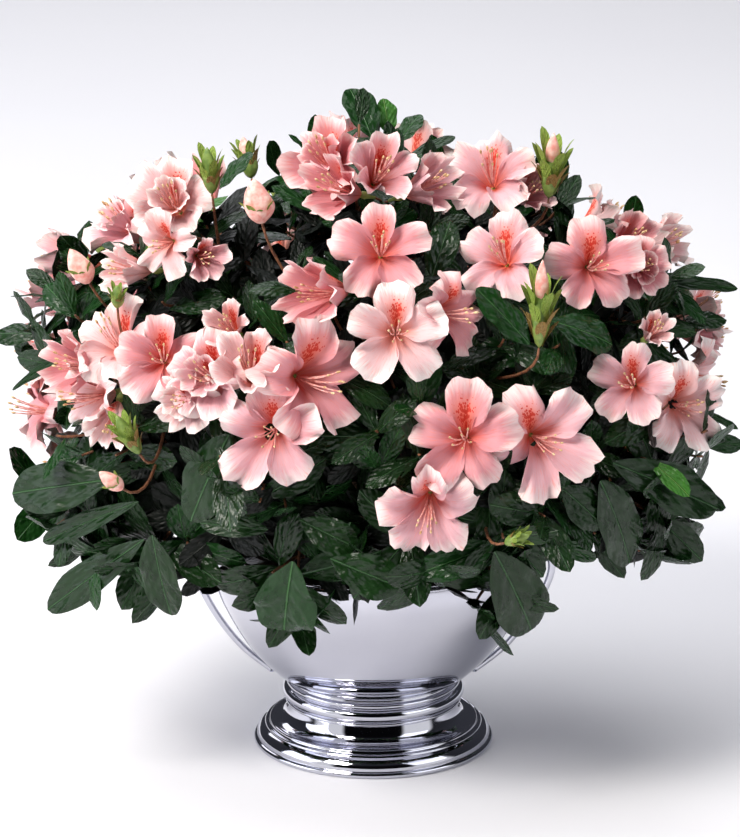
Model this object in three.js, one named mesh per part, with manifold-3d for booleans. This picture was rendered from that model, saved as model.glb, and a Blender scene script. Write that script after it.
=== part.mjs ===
// Azalea shrub in a footed bowl of polished metal with two fixed strap handles.
// Millimetres, +Z up, +Y towards the back. The origin is the centre of the foot's underside.
import * as THREE from "three";
import { mergeVertices } from "three/addons/utils/BufferGeometryUtils.js";
import Module from "manifold-3d";

// ---------------------------------------------------------------- driving dimensions
const GAP = 0.3; // clearance between pieces that touch
const LATHE_SIDES = 32;
const SOIL_SIDES = 24;
const OUTLINE_STEPS = 7; // straight pieces in the body's curved side
const STRAP_SIDES = 8;
const STRAP_STEPS = 13;
const STEM_SIDES = 10;
const STEM_STEPS = 8;
const BOUGH_SIDES = 6;
const BOUGH_STEPS = 4;
const MASS_DETAIL = 2; // times the faces of a ball are divided
const TIPPED_DETAIL = 3; // the same for a mass with shoots, so that they stay slender

const FOOT_RADIUS = 86;
const FOOT_HEIGHT = 31;
const NECK_RADIUS = 66.5;
const BOWL_BASE = 52; // underside of the bowl's body, resting on the neck
const BOWL_BASE_RADIUS = 61;
const RIM_RADIUS = 122;
const RIM_TOP = 156.5;
const RIM_BAND = 6; // height of the moulding round the rim
const WALL = 2.4; // sheet thickness of the bowl
const WALL_RISE = 0.6; // how far the inner face is lifted, as a part of the wall
const RIM_TUCK = 2; // how far the body's edge stands inside the rim
const RIM_SOFTENING = 1.2; // bevel on the rim's outer corner

const STRAP_THICK = 6.4; // handle strap, measured away from the bowl, at its widest
const STRAP_WIDE = 11; // handle strap, measured along the rim
const STRAP_TAPER = 0.55; // how much of its size is left at the lower end
const STRAP_TAPER_POWER = 1.5; // above 1, most of the thinning is near the lower end

const SOIL_TOP = 149;
const SOIL_DOME = 5;
const SOIL_MARGIN = 1.5; // between the root ball and the inside of the bowl

const STEM_FLARE = 19; // radius where the stem leaves the root ball
const STEM_FLARE_SHARE = 0.35; // part of the stem's length over which the flare dies out
const STEM_WAIST = 11;
const STEM_TOP = 188;
const STEM_SHOULDER = 0.85; // part of the stem's length at which it draws in under the boughs
const STEM_DRAW_IN = 4; // how much its radius loses there
const STEM_LEAN = [4, -3]; // how far the top stands from the foot, in X and Y
const BURL = 14; // radius of the knot the boughs grow from
const BURL_RISE = 0.7; // how far the stem runs on above the fork, in burls
const BURL_CROWD = 1.15; // above 1, the knot's swelling closes before the stem's end
const BOUGH_START = 4;
const BOUGH_TIP = 2.6;
const BOUGH_CLEAR = 3; // from a bough's end to the mass it feeds

const CORE = new THREE.Vector3(0, 0, 232); // middle of the open, shaded heart of the crown
const CORE_RADIUS = 62;
const MASS_GAP = 3; // between neighbouring masses
const UNEVEN = 0.13; // how far a mass's surface wanders, as a part of its size
const RIM_CLEAR = 4; // between a mass and the rim under it
const BODY_CLEAR = 3; // between a hanging mass and the rim beside it
const HANDLE_CLEAR = 12; // the same on the sides, where a handle bows out under it

const METAL = { color: 0xd5d6dc, roughness: 0.08, metalness: 1 };
const SOIL = { color: 0x2b211a, roughness: 0.95, metalness: 0 };
const BARK = { color: 0x5a4433, roughness: 0.85, metalness: 0 };
const LEAF = { color: 0x1f3d24, roughness: 0.55, metalness: 0 };
const BLOOM = { color: 0xf0b2aa, roughness: 0.6, metalness: 0 };

const wasm = await Module();
wasm.setup();

const azalea = new THREE.Group();

function add(name, geometry, finish) {
  const mesh = new THREE.Mesh(geometry, new THREE.MeshStandardMaterial(finish));
  mesh.name = name;
  azalea.add(mesh);
  return mesh;
}

// ---------------------------------------------------------------- solids
// A profile of [radius, height] pairs turned round the Z axis.
function turned(profile, sides = LATHE_SIDES) {
  const points = profile.map(([radius, height]) => new THREE.Vector2(radius, height));
  return new THREE.LatheGeometry(points, sides).rotateX(Math.PI / 2);
}

// Keeps only the corners, with shared ones merged.
function bare(geometry) {
  const copy = geometry.clone();
  copy.deleteAttribute("normal");
  copy.deleteAttribute("uv");
  return mergeVertices(copy, 1e-4);
}

function toSolid(geometry) {
  const merged = bare(geometry);
  return new wasm.Manifold(
    new wasm.Mesh({
      numProp: 3,
      vertProperties: Float32Array.from(merged.attributes.position.array),
      triVerts: Uint32Array.from(merged.index.array),
    }),
  );
}

function fromSolid(solid) {
  const mesh = solid.getMesh();
  const geometry = new THREE.BufferGeometry();
  geometry.setAttribute("position", new THREE.BufferAttribute(mesh.vertProperties, 3));
  geometry.setIndex(new THREE.BufferAttribute(mesh.triVerts, 1));
  geometry.computeVertexNormals();
  return geometry;
}

// A round limb bent along a curve, with its radius given by a function of 0..1 along it.
function limb(curve, radiusAt, sides, steps) {
  const geometry = new THREE.CylinderGeometry(1, 1, 1, sides, steps);
  const frames = curve.computeFrenetFrames(steps);
  const corners = geometry.attributes.position;
  for (let i = 0; i < corners.count; i += 1) {
    const along = 0.5 - corners.getY(i);
    const step = Math.round(along * steps);
    const spread = radiusAt(along);
    const place = curve.getPointAt(step / steps);
    place.addScaledVector(frames.normals[step], corners.getX(i) * spread);
    place.addScaledVector(frames.binormals[step], corners.getZ(i) * spread);
    corners.setXYZ(i, place.x, place.y, place.z);
  }
  const shape = bare(geometry);
  shape.computeVertexNormals();
  return shape;
}

// ---------------------------------------------------------------- the bowl
// The body flares from its narrow base in a long straight slope and turns upright at the rim.
function bodyOutline(steps) {
  const curve = new THREE.SplineCurve([
    new THREE.Vector2(BOWL_BASE_RADIUS, BOWL_BASE),
    new THREE.Vector2(70.5, 55.5),
    new THREE.Vector2(92, 78),
    new THREE.Vector2(110.5, 110),
    new THREE.Vector2(118.5, 134),
    new THREE.Vector2(RIM_RADIUS - RIM_TUCK, RIM_TOP - RIM_BAND),
  ]);
  return curve.getPoints(steps).map((p) => [p.x, p.y]);
}

function bowl() {
  const outside = bodyOutline(OUTLINE_STEPS);
  const rim = [
    [RIM_RADIUS, RIM_TOP - RIM_BAND + 1],
    [RIM_RADIUS, RIM_TOP - 1],
    [RIM_RADIUS - RIM_SOFTENING, RIM_TOP],
    [RIM_RADIUS - WALL - RIM_TUCK, RIM_TOP],
  ];
  const inside = outside.map(([r, z]) => [r - WALL, z + WALL * WALL_RISE]).reverse();
  return turned([[0, BOWL_BASE], ...outside, ...rim, ...inside, [0, BOWL_BASE + WALL]]);
}

// Three mouldings between body and foot, the lowest one the widest.
function neck() {
  const low = FOOT_HEIGHT + GAP;
  const high = BOWL_BASE - GAP;
  return turned([
    [0, low],
    [NECK_RADIUS - 4, low],
    [NECK_RADIUS - 2, low + 2],
    [NECK_RADIUS, low + 5],
    [NECK_RADIUS, low + 9],
    [NECK_RADIUS - 3, low + 12],
    [NECK_RADIUS - 2, low + 14],
    [NECK_RADIUS - 3, low + 17],
    [BOWL_BASE_RADIUS, high],
    [0, high],
  ]);
}

// A weighted foot with a flat, closed underside, a convex border, two ridges and a hollow sweep.
function foot() {
  return turned([
    [0, 0],
    [FOOT_RADIUS - 0.8, 0],
    [FOOT_RADIUS, 1],
    [FOOT_RADIUS, 5],
    [FOOT_RADIUS - 2, 9],
    [FOOT_RADIUS - 7, 14],
    [FOOT_RADIUS - 11, 18],
    [FOOT_RADIUS - 19, 19.5],
    [FOOT_RADIUS - 24, 24],
    [NECK_RADIUS - 6, FOOT_HEIGHT],
    [0, FOOT_HEIGHT],
  ]);
}

// A strap that leaves the wall under the rim, bows out and comes back to the base of the body.
function strap(side) {
  const route = new THREE.CatmullRomCurve3(
    [
      [115, 142],
      [124.5, 144.5],
      [129.5, 135],
      [126, 119],
      [113, 94],
      [95, 70.5],
      [72, 51],
    ].map(([x, z]) => new THREE.Vector3(side * x, 0, z)),
  );
  const geometry = new THREE.CylinderGeometry(1, 1, 1, STRAP_SIDES, STRAP_STEPS);
  const corners = geometry.attributes.position;
  for (let i = 0; i < corners.count; i += 1) {
    const along = 0.5 - corners.getY(i);
    const size = 1 - (1 - STRAP_TAPER) * along ** STRAP_TAPER_POWER;
    const place = route.getPointAt(along);
    const ahead = route.getTangentAt(along);
    const outward = new THREE.Vector3(ahead.z, 0, -ahead.x);
    place.addScaledVector(outward, (corners.getX(i) * STRAP_THICK * size) / 2);
    place.y = (corners.getZ(i) * STRAP_WIDE * size) / 2;
    corners.setXYZ(i, place.x, place.y, place.z);
  }
  const body = bodyOutline(OUTLINE_STEPS).map(([r, z]) => [r + GAP, z]);
  const cutter = turned([
    [0, BOWL_BASE - GAP],
    [BOWL_BASE_RADIUS + GAP, BOWL_BASE - GAP],
    ...body,
    [RIM_RADIUS + GAP, RIM_TOP - RIM_BAND - GAP],
    [RIM_RADIUS + GAP, RIM_TOP + GAP],
    [0, RIM_TOP + GAP],
  ]);
  let solid = toSolid(geometry);
  if (solid.volume() < 0) {
    solid = toSolid(flipped(geometry));
  }
  return fromSolid(solid.subtract(toSolid(cutter)));
}

// The same surface with its faces turned to point the other way.
function flipped(geometry) {
  const merged = bare(geometry);
  const order = merged.index.array;
  for (let i = 0; i < order.length; i += 3) {
    [order[i], order[i + 1]] = [order[i + 1], order[i]];
  }
  return merged;
}

// Soil and roots fill the bowl to just under its rim, a little domed round the stem.
function rootBall() {
  const wall = bodyOutline(OUTLINE_STEPS)
    .map(([r, z]) => [r - WALL - SOIL_MARGIN, z + WALL])
    .filter(([, z]) => z < SOIL_TOP);
  return turned(
    [
      [0, BOWL_BASE + WALL + 1],
      ...wall,
      [RIM_RADIUS - 12, SOIL_TOP],
      [RIM_RADIUS * 0.5, SOIL_TOP + SOIL_DOME * 0.8],
      [STEM_FLARE + 4, SOIL_TOP + SOIL_DOME],
      [0, SOIL_TOP + SOIL_DOME],
    ],
    SOIL_SIDES,
  );
}

add("bowl", bowl(), METAL);
add("neck", neck(), METAL);
add("foot", foot(), METAL);
add("handle_left", strap(-1), METAL);
add("handle_right", strap(1), METAL);
add("root_ball", rootBall(), SOIL);

// ---------------------------------------------------------------- the stem and its knot
const fork = new THREE.Vector3(STEM_LEAN[0], STEM_LEAN[1], STEM_TOP);

// The stem flares into the soil, swells to a knot under the fork and draws in above it.
function stem() {
  const foot = new THREE.Vector3(0, 0, SOIL_TOP + SOIL_DOME + 2 * GAP);
  const top = fork.clone().add(new THREE.Vector3(0, 0, BURL * BURL_RISE));
  const route = new THREE.QuadraticBezierCurve3(foot, new THREE.Vector3(0, 0, STEM_TOP), top);
  const radiusAt = (t) => {
    const flare = (STEM_FLARE - STEM_WAIST) * Math.max(0, 1 - t / STEM_FLARE_SHARE) ** 2;
    const swell = (BURL - STEM_WAIST) * Math.sin(Math.PI * Math.min(1, t * BURL_CROWD)) ** 2;
    const drawn = (STEM_DRAW_IN * Math.max(0, t - STEM_SHOULDER)) / (1 - STEM_SHOULDER);
    return STEM_WAIST + flare + swell - drawn;
  };
  return limb(route, radiusAt, STEM_SIDES, STEM_STEPS);
}

add("stem", stem(), BARK);

// ---------------------------------------------------------------- the masses of leaf and blossom
// Each is an uneven ball: at is its middle, size its half-lengths. One above the bowl stays over
// its rim, and one beside the bowl hangs outside it. A tip is a shoot that reaches further, and
// a mass with bloom is mostly flowers.
const MASSES = [
  { name: "crown_top", at: [-8, -15, 412], size: [92, 79, 64], tips: [[-10, 0, 493]] },
  { name: "top_left", at: [-135, -22, 375], size: [70, 73, 63], tips: [[-124, -20, 444]] },
  { name: "top_right", at: [98, -5, 396], size: [68, 70, 57], tips: [[125, -5, 459]] },
  { name: "shoulder_left", at: [-200, -30, 330], size: [62, 68, 68], tips: [[-266, -20, 304]] },
  { name: "shoulder_right", at: [190, -25, 344], size: [64, 68, 66], tips: [[261, -15, 358]] },
  { name: "front_upper", at: [-15, -122, 352], size: [81, 77, 64], bloom: true },
  { name: "front_upper_right", at: [92, -112, 348], size: [64, 73, 57], bloom: true },
  { name: "front_centre", at: [22, -158, 292], size: [68, 62, 57], bloom: true },
  { name: "left", at: [-172, -98, 278], size: [75, 73, 62], bloom: true },
  { name: "front_left", at: [-82, -150, 270], size: [73, 68, 68], bloom: true },
  { name: "right", at: [188, -88, 262], size: [77, 73, 62], bloom: true, tips: [[262, -40, 262]] },
  { name: "front_right", at: [92, -150, 232], size: [68, 68, 57], bloom: true },
  { name: "front_low", at: [28, -158, 196], size: [62, 59, 44], bloom: true },
  { name: "skirt_left", at: [-196, -48, 188], size: [66, 73, 54], tips: [[-259, -50, 220]] },
  { name: "skirt_front_left", at: [-152, -112, 170], size: [66, 44, 50], beside: true },
  { name: "skirt_right", at: [188, -58, 192], size: [62, 77, 46], beside: true },
  { name: "apron_left", at: [-55, -150, 164], size: [64, 31, 42], beside: true },
  { name: "apron_right", at: [92, -147, 158], size: [51, 31, 41], beside: true },
  { name: "back_top", at: [5, 92, 372], size: [97, 75, 64] },
  { name: "back_left", at: [-130, 92, 300], size: [90, 86, 73] },
  { name: "back_right", at: [138, 90, 300], size: [90, 86, 73] },
  { name: "back_centre", at: [0, 152, 268], size: [90, 68, 68] },
  { name: "back_skirt_left", at: [-148, 122, 180], size: [78, 72, 52], beside: true },
  { name: "back_skirt_right", at: [154, 112, 180], size: [78, 72, 52], beside: true },
  { name: "back_low", at: [4, 165, 170], size: [82, 40, 48], beside: true },
];

// Slow waves that make a ball uneven: how fast each runs along X, Y and Z, and how far it is
// shifted from one mass in the list to the next.
const WAVES = [
  { run: [3.1, 0, 2.3], shift: 1.7 },
  { run: [-2.9, 3.7, 0], shift: 3.23 },
  { run: [0, 3.3, 4.3], shift: -1.19 },
];

function wander(direction, index) {
  let sum = 0;
  for (const { run, shift } of WAVES) {
    sum += Math.sin(direction.dot(new THREE.Vector3(...run)) + index * shift);
  }
  return 1 + (UNEVEN * sum) / 2;
}

// Every mass keeps to its own side of a set of planes, each a unit normal and the distance
// from the mass's middle at which it stops growing that way.
function limits(mass) {
  const middle = new THREE.Vector3(...mass.at);
  const planes = [];
  const reach = (m) => (m.size[0] + m.size[1] + m.size[2]) / 3;
  for (const other of MASSES) {
    if (other === mass) {
      continue;
    }
    const towards = new THREE.Vector3(...other.at).sub(middle);
    const span = towards.length();
    const share = reach(mass) / (reach(mass) + reach(other));
    planes.push({ normal: towards.normalize(), distance: span * share - MASS_GAP / 2 });
  }
  const inward = CORE.clone().sub(middle);
  const toCore = inward.length();
  planes.push({ normal: inward.normalize(), distance: toCore - CORE_RADIUS });
  if (mass.beside) {
    const outward = new THREE.Vector3(middle.x, middle.y, 0);
    const radius = outward.length();
    const clear = Math.abs(middle.x) > Math.abs(middle.y) ? HANDLE_CLEAR : BODY_CLEAR;
    planes.push({ normal: outward.normalize().negate(), distance: radius - RIM_RADIUS - clear });
  } else {
    planes.push({
      normal: new THREE.Vector3(0, 0, -1),
      distance: middle.z - RIM_TOP - RIM_CLEAR,
    });
  }
  return planes;
}

// How far a mass's surface stands from its middle in one direction.
function reachOf(mass, index, direction, planes) {
  const [a, b, c] = mass.size;
  const round = 1 / Math.hypot(direction.x / a, direction.y / b, direction.z / c);
  let reach = round * wander(direction, index);
  for (const { normal, distance } of planes) {
    const across = direction.dot(normal);
    if (across > 1e-6) {
      reach = Math.min(reach, distance / across);
    }
  }
  return reach;
}

function foliage(mass, index) {
  const middle = new THREE.Vector3(...mass.at);
  const planes = limits(mass);
  const ball = bare(new THREE.IcosahedronGeometry(1, mass.tips ? TIPPED_DETAIL : MASS_DETAIL));
  const corners = ball.attributes.position;
  const direction = new THREE.Vector3();
  for (let i = 0; i < corners.count; i += 1) {
    direction.fromBufferAttribute(corners, i).normalize();
    const reach = reachOf(mass, index, direction, planes);
    corners.setXYZ(i, direction.x * reach, direction.y * reach, direction.z * reach);
  }
  for (const tip of mass.tips ?? []) {
    pullTip(corners, new THREE.Vector3(...tip).sub(middle));
  }
  ball.translate(middle.x, middle.y, middle.z);
  ball.computeVertexNormals();
  return ball;
}

// The corner that already points most nearly at a shoot's tip is drawn out to it.
function pullTip(corners, tip) {
  const direction = tip.clone().normalize();
  const corner = new THREE.Vector3();
  let best = 0;
  let nearest = -Infinity;
  for (let i = 0; i < corners.count; i += 1) {
    const closeness = corner.fromBufferAttribute(corners, i).normalize().dot(direction);
    if (closeness > nearest) {
      nearest = closeness;
      best = i;
    }
  }
  corners.setXYZ(best, tip.x, tip.y, tip.z);
}

MASSES.forEach((mass, index) => {
  add(`foliage_${mass.name}`, foliage(mass, index), mass.bloom ? BLOOM : LEAF);
});

// ---------------------------------------------------------------- the main boughs
// Each grows from the knot, arches a little, and ends just short of the mass it feeds.
const BOUGHS = [
  { to: "crown_top", arch: 6 },
  { to: "left", arch: 14 },
  { to: "right", arch: 14 },
  { to: "front_left", arch: 10 },
  { to: "front_centre", arch: 8 },
  { to: "front_right", arch: 6 },
  { to: "back_left", arch: 12 },
  { to: "back_right", arch: 12 },
  { to: "back_centre", arch: 10 },
];

function bough({ to, arch }) {
  const index = MASSES.findIndex((mass) => mass.name === to);
  const mass = MASSES[index];
  const middle = new THREE.Vector3(...mass.at);
  const back = fork.clone().sub(middle).normalize();
  const near = reachOf(mass, index, back, limits(mass)) + BOUGH_CLEAR;
  const end = middle.clone().addScaledVector(back, near);
  const out = end.clone().sub(fork).normalize();
  const start = fork.clone().addScaledVector(out, BURL + BOUGH_START);
  const bend = start.clone().lerp(end, 0.5).add(new THREE.Vector3(0, 0, arch));
  const route = new THREE.QuadraticBezierCurve3(start, bend, end);
  const radiusAt = (t) => BOUGH_START + (BOUGH_TIP - BOUGH_START) * t;
  return limb(route, radiusAt, BOUGH_SIDES, BOUGH_STEPS);
}

for (const each of BOUGHS) {
  add(`bough_${each.to}`, bough(each), BARK);
}

export default azalea;
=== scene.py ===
"""Looks of an azalea shrub in full bloom, growing in a footed bowl of polished metal.

The bowl, its compost, the limbs, the leaves and the flowers are surfaces worked out with numpy,
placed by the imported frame. Metres, +Z up, +Y towards the back, the origin under the foot's middle.
"""

from __future__ import annotations

import sys

import logging
from dataclasses import dataclass, field
from enum import Enum

import bmesh
import bpy
import numpy as np
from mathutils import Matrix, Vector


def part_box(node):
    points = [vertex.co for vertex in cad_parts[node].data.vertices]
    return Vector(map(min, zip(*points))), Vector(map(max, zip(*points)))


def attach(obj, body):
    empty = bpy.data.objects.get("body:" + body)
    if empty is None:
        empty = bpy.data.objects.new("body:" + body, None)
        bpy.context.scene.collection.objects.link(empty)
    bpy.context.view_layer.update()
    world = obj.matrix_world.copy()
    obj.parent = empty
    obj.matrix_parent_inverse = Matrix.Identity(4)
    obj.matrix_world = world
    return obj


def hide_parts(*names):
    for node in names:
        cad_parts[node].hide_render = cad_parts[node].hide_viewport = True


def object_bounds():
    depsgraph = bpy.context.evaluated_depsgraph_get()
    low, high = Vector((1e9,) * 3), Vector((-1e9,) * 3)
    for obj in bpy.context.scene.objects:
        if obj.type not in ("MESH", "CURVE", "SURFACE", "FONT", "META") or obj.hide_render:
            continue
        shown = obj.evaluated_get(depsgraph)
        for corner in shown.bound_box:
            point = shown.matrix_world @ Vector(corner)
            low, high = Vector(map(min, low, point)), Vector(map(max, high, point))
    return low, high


Array = np.ndarray
MM = 0.001
TAU = 2 * np.pi
GOLDEN = np.radians(137.5)
UV_NAME = "OFBake"
# An onlooker looks down at the crown by these degrees, from this many metres away.
VIEW_RISE = 17.2
VIEW_DISTANCE = 3.8

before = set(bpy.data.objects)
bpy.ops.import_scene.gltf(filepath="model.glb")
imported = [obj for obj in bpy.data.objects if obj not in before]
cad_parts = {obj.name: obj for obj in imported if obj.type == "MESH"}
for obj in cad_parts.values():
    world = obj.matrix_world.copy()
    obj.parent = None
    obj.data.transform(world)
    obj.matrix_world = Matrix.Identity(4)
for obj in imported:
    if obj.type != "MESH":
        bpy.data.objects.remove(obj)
CAD_BOX = [list(corner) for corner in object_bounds()]
FOLIAGE = sorted(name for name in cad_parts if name.startswith("foliage_"))
BOUGHS = sorted(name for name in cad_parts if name.startswith("bough_"))

log = logging.getLogger("azalea")


# ------------------------------------------------------------------ shapes
def corners(node: str) -> tuple[Array, Array]:
    """Lowest and highest corner of a CAD node, in metres."""
    low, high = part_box(node)
    return np.array(low), np.array(high)


def unit(v: Array) -> Array:
    """Vectors along the last axis, made one long."""
    return v / np.maximum(np.linalg.norm(v, axis=-1, keepdims=True), 1e-9)


def smooth(low: float, high: float, x: Array) -> Array:
    """Smooth step: 0 below low, 1 above high, three squares less two cubes between."""
    t = np.clip((x - low) / (high - low), 0, 1)
    return t * t * (3 - 2 * t)


def aim(turn: Array, rise: Array) -> Array:
    """Unit vectors from angles.

    Args:
        turn: Degrees round from the front (-Y), positive to the right (+X).
        rise: Degrees above the level.

    Returns:
        Vectors along the last axis.
    """
    t, r = np.radians(turn), np.radians(rise)
    return np.stack([np.cos(r) * np.sin(t), -np.cos(r) * np.cos(t), np.sin(r)], -1)


def axes(forward: Array, up: Array) -> Array:
    """Matrices whose columns are forward, its left side, and the part of up square to forward.

    Args:
        forward: Vectors (n, 3).
        up: Vectors (n, 3) that are not along forward.

    Returns:
        Matrices (n, 3, 3).
    """
    x = unit(forward)
    y = unit(np.cross(up, x))
    return np.stack([x, y, np.cross(x, y)], -1)


def placed(local: Array, turned: Array, base: Array) -> Array:
    """Turns local grids (n, rows, cols, 3) by matrices (n, 3, 3) and moves them to bases (n, 3)."""
    return np.einsum("nrcj,nij->nrci", local, turned) + base[:, None, None, :]


def flowing(points: list[tuple[float, float]], steps: int) -> Array:
    """Smooth line through points: a Catmull-Rom curve, whose slope at a point joins its neighbours.

    Args:
        points: Two or more points.
        steps: Stretches between two points.

    Returns:
        Points (n, 2).
    """
    p = np.array(points, float)
    p = np.concatenate([p[:1] * 2 - p[1:2], p, p[-1:] * 2 - p[-2:-1]])
    t = np.linspace(0, 1, steps, endpoint=False)[None, :, None]
    a, b, c, d = (p[i:len(p) - 3 + i, None] for i in range(4))
    line = b + 0.5 * t * (c - a + t * (2 * a - 5 * b + 4 * c - d + t * (3 * (b - c) + d - a)))
    return np.concatenate([line.reshape(-1, 2), p[-2:-1]])


def arc(centre: tuple[float, float], radius: float, start: float, end: float,
        steps: int = 10) -> Array:
    """Points of an arc in a profile.

    Args:
        centre: Radius and height of the arc's middle.
        radius: Radius of the arc.
        start: Angle of the first point, in degrees from straight out, positive upwards.
        end: Angle of the last point.
        steps: Stretches between the points.

    Returns:
        Points (steps + 1, 2).
    """
    a = np.radians(np.linspace(start, end, steps + 1))
    return np.array(centre) + radius * np.stack([np.cos(a), np.sin(a)], -1)


def lathe(profile: Array, sides: int = 144) -> Array:
    """Surface of a profile turned about the Z axis.

    Args:
        profile: Points of (radius, height).
        sides: Sides of the turned surface.

    Returns:
        One grid (1, points, sides, 3) that closes across its columns.
    """
    a = np.arange(sides) / sides * TAU
    r, z = profile[:, :1], profile[:, 1:]
    height = np.broadcast_to(z, (len(profile), sides))
    return np.stack([r * np.cos(a), r * np.sin(a), height], -1)[None]


def tubes(path: Array, radius: Array, sides: int) -> Array:
    """Tubes round many paths, each ring square to the path, with a point at both ends.

    Args:
        path: Paths (n, steps, 3).
        radius: Radius along each path, (n, steps).
        sides: Sides of the section.

    Returns:
        Grids (n, steps + 2, sides, 3) that close across their columns.
    """
    along = unit(np.gradient(path, axis=1))
    spare = np.where(np.abs(along[:, :1, 2:]) > 0.8, [[[1.0, 0, 0]]], [[[0, 0, 1.0]]])
    side = unit(np.cross(along, np.broadcast_to(spare, path.shape)))
    other = np.cross(along, side)
    a = np.arange(sides) / sides * TAU
    ring = side[:, :, None] * np.cos(a)[:, None] + other[:, :, None] * np.sin(a)[:, None]
    body = path[:, :, None] + ring * radius[..., None, None]
    ends = [np.repeat(path[:, i, None, None], sides, 2) for i in (0, -1)]
    return np.concatenate([ends[0], body, ends[1]], 1)


def arched(start: Array, end: Array, lift: Array, steps: int) -> Array:
    """Paths on a parabola.

    Args:
        start: First points (n, 3).
        end: Last points (n, 3).
        lift: How far the middle of each path is moved from the straight line.
        steps: Points in a path.

    Returns:
        Paths (n, steps, 3).
    """
    t = np.linspace(0, 1, steps)[None, :, None]
    return start[:, None] * (1 - t) + end[:, None] * t + 4 * t * (1 - t) * lift[:, None]


@dataclass
class Sheet:
    """Many like grids of points, with their UVs and the finish of each.

    Attributes:
        points: Places of the corners, (n, rows, cols, 3).
        uv: UVs that broadcast to (n, rows, cols, 2).
        finish: Material slot of all, or of each copy.
        wrap: Whether each grid closes across its columns.
    """

    points: Array
    uv: Array = field(default_factory=lambda: np.zeros(2))
    finish: Array | int = 0
    wrap: bool = False

    def quads(self) -> Array:
        """Corner numbers of every quad of every copy."""
        n, rows, cols, _ = self.points.shape
        r = np.arange(rows - 1)[:, None] * cols
        c = np.arange(cols if self.wrap else cols - 1)[None, :]
        d = (c + 1) % cols
        one = np.stack([r + c, r + d, r + cols + d, r + cols + c], -1).reshape(1, -1, 4)
        return (one + (np.arange(n) * rows * cols)[:, None, None]).reshape(-1, 4)

    def uvs(self) -> Array:
        """UV of every corner of every copy."""
        return np.broadcast_to(self.uv, self.points.shape[:3] + (2,)).reshape(-1, 2)

    def slots(self) -> Array:
        """Material slot of every quad."""
        copies = len(self.points)
        return np.repeat(np.broadcast_to(self.finish, (copies,)), len(self.quads()) // copies)


def build(name: str, sheets: list[Sheet], finishes: list[bpy.types.Material],
          nodes: list[str] | None = None, weld: bool = False, mapped: bool = False) -> None:
    """Joins sheets into one mesh piece that rides on the root body.

    Args:
        name: Name of the piece.
        sheets: The grids it is made of.
        finishes: Its materials, in slot order.
        nodes: CAD nodes that it stands for.
        weld: Whether to merge corners that share a place, which closes seams and poles.
        mapped: Whether the piece carries its own UVs.
    """
    starts = np.cumsum([0] + [sheet.points[..., 0].size for sheet in sheets])
    points = np.concatenate([sheet.points.reshape(-1, 3) for sheet in sheets])
    quads = np.concatenate([sheet.quads() + start for sheet, start in zip(sheets, starts)])
    mesh = bpy.data.meshes.new(name)
    mesh.vertices.add(len(points))
    mesh.vertices.foreach_set("co", points.astype(np.float32).ravel())
    mesh.loops.add(quads.size)
    mesh.loops.foreach_set("vertex_index", quads.astype(np.int32).ravel())
    mesh.polygons.add(len(quads))
    mesh.polygons.foreach_set("loop_start", np.arange(0, quads.size, 4, dtype=np.int32))
    mesh.polygons.foreach_set("use_smooth", np.ones(len(quads), bool))
    for finish in finishes:
        mesh.materials.append(finish)
    slots = np.concatenate([sheet.slots() for sheet in sheets])
    mesh.polygons.foreach_set("material_index", slots.astype(np.int32))
    if mapped:
        uvs = np.concatenate([sheet.uvs() for sheet in sheets])[quads.ravel()]
        mesh.uv_layers.new(name=UV_NAME).data.foreach_set("uv", uvs.astype(np.float32).ravel())
    mesh.update(calc_edges=True)
    if weld:
        shape = bmesh.new()
        shape.from_mesh(mesh)
        bmesh.ops.remove_doubles(shape, verts=shape.verts, dist=1e-6)
        bmesh.ops.dissolve_degenerate(shape, edges=shape.edges, dist=1e-7)
        bmesh.ops.recalc_face_normals(shape, faces=shape.faces)
        shape.to_mesh(mesh)
        shape.free()
    mesh.validate()
    piece = bpy.data.objects.new(name, mesh)
    bpy.context.scene.collection.objects.link(piece)
    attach(piece, "root")
    if nodes:
        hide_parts(*nodes)
    log.info("%s: %d faces", name, len(mesh.polygons))


# ------------------------------------------------------------------ finishes
def linear(colour: str) -> tuple[float, ...]:
    """Turns an sRGB colour into a linear one.

    Args:
        colour: A hash and six hex digits.

    Returns:
        Red, green, blue and an alpha of one.
    """
    parts = np.array([int(colour[i:i + 2], 16) for i in (1, 3, 5)]) / 255
    lin = np.where(parts <= 0.04045, parts / 12.92, ((parts + 0.055) / 1.055) ** 2.4)
    return (*(float(x) for x in lin), 1.0)


def put(tree: bpy.types.NodeTree, kind: str, *feeds, stops: tuple = (), **options) -> bpy.types.Node:
    """Adds one node with its settings and links.

    Feeds fill the node's enabled sockets in order. A name with a capital is a socket, with an
    underscore for a blank, and any other name is a property of the node.

    Args:
        tree: The node tree.
        kind: Node type without its ShaderNode, then its operation if it has one.
        *feeds: Numbers, vectors, hex colours, nodes or sockets.
        stops: Places and hex colours of a colour ramp.
        **options: Named sockets and properties.

    Returns:
        The node. As a feed it stands for its first output.
    """
    name, *operation = kind.split()
    node = tree.nodes.new("ShaderNode" + name)
    if operation:
        node.operation = operation[0]
    for key, value in options.items():
        if key[0].islower():
            setattr(node, key, value)
    shown = [socket for socket in node.inputs if socket.enabled]
    wanted = list(zip(shown, feeds))
    wanted += [(node.inputs[k.replace("_", " ")], v) for k, v in options.items() if k[0].isupper()]
    for socket, value in wanted:
        if isinstance(value, bpy.types.Node):
            value = next(output for output in value.outputs if output.enabled)
        if isinstance(value, bpy.types.NodeSocket):
            tree.links.new(value, socket)
        else:
            socket.default_value = linear(value) if isinstance(value, str) else value
    for number, (place, colour) in enumerate(stops):
        elements = node.color_ramp.elements
        element = elements[number] if number < len(elements) else elements.new(place)
        element.position = place
        element.color = linear(colour)
    return node


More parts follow.
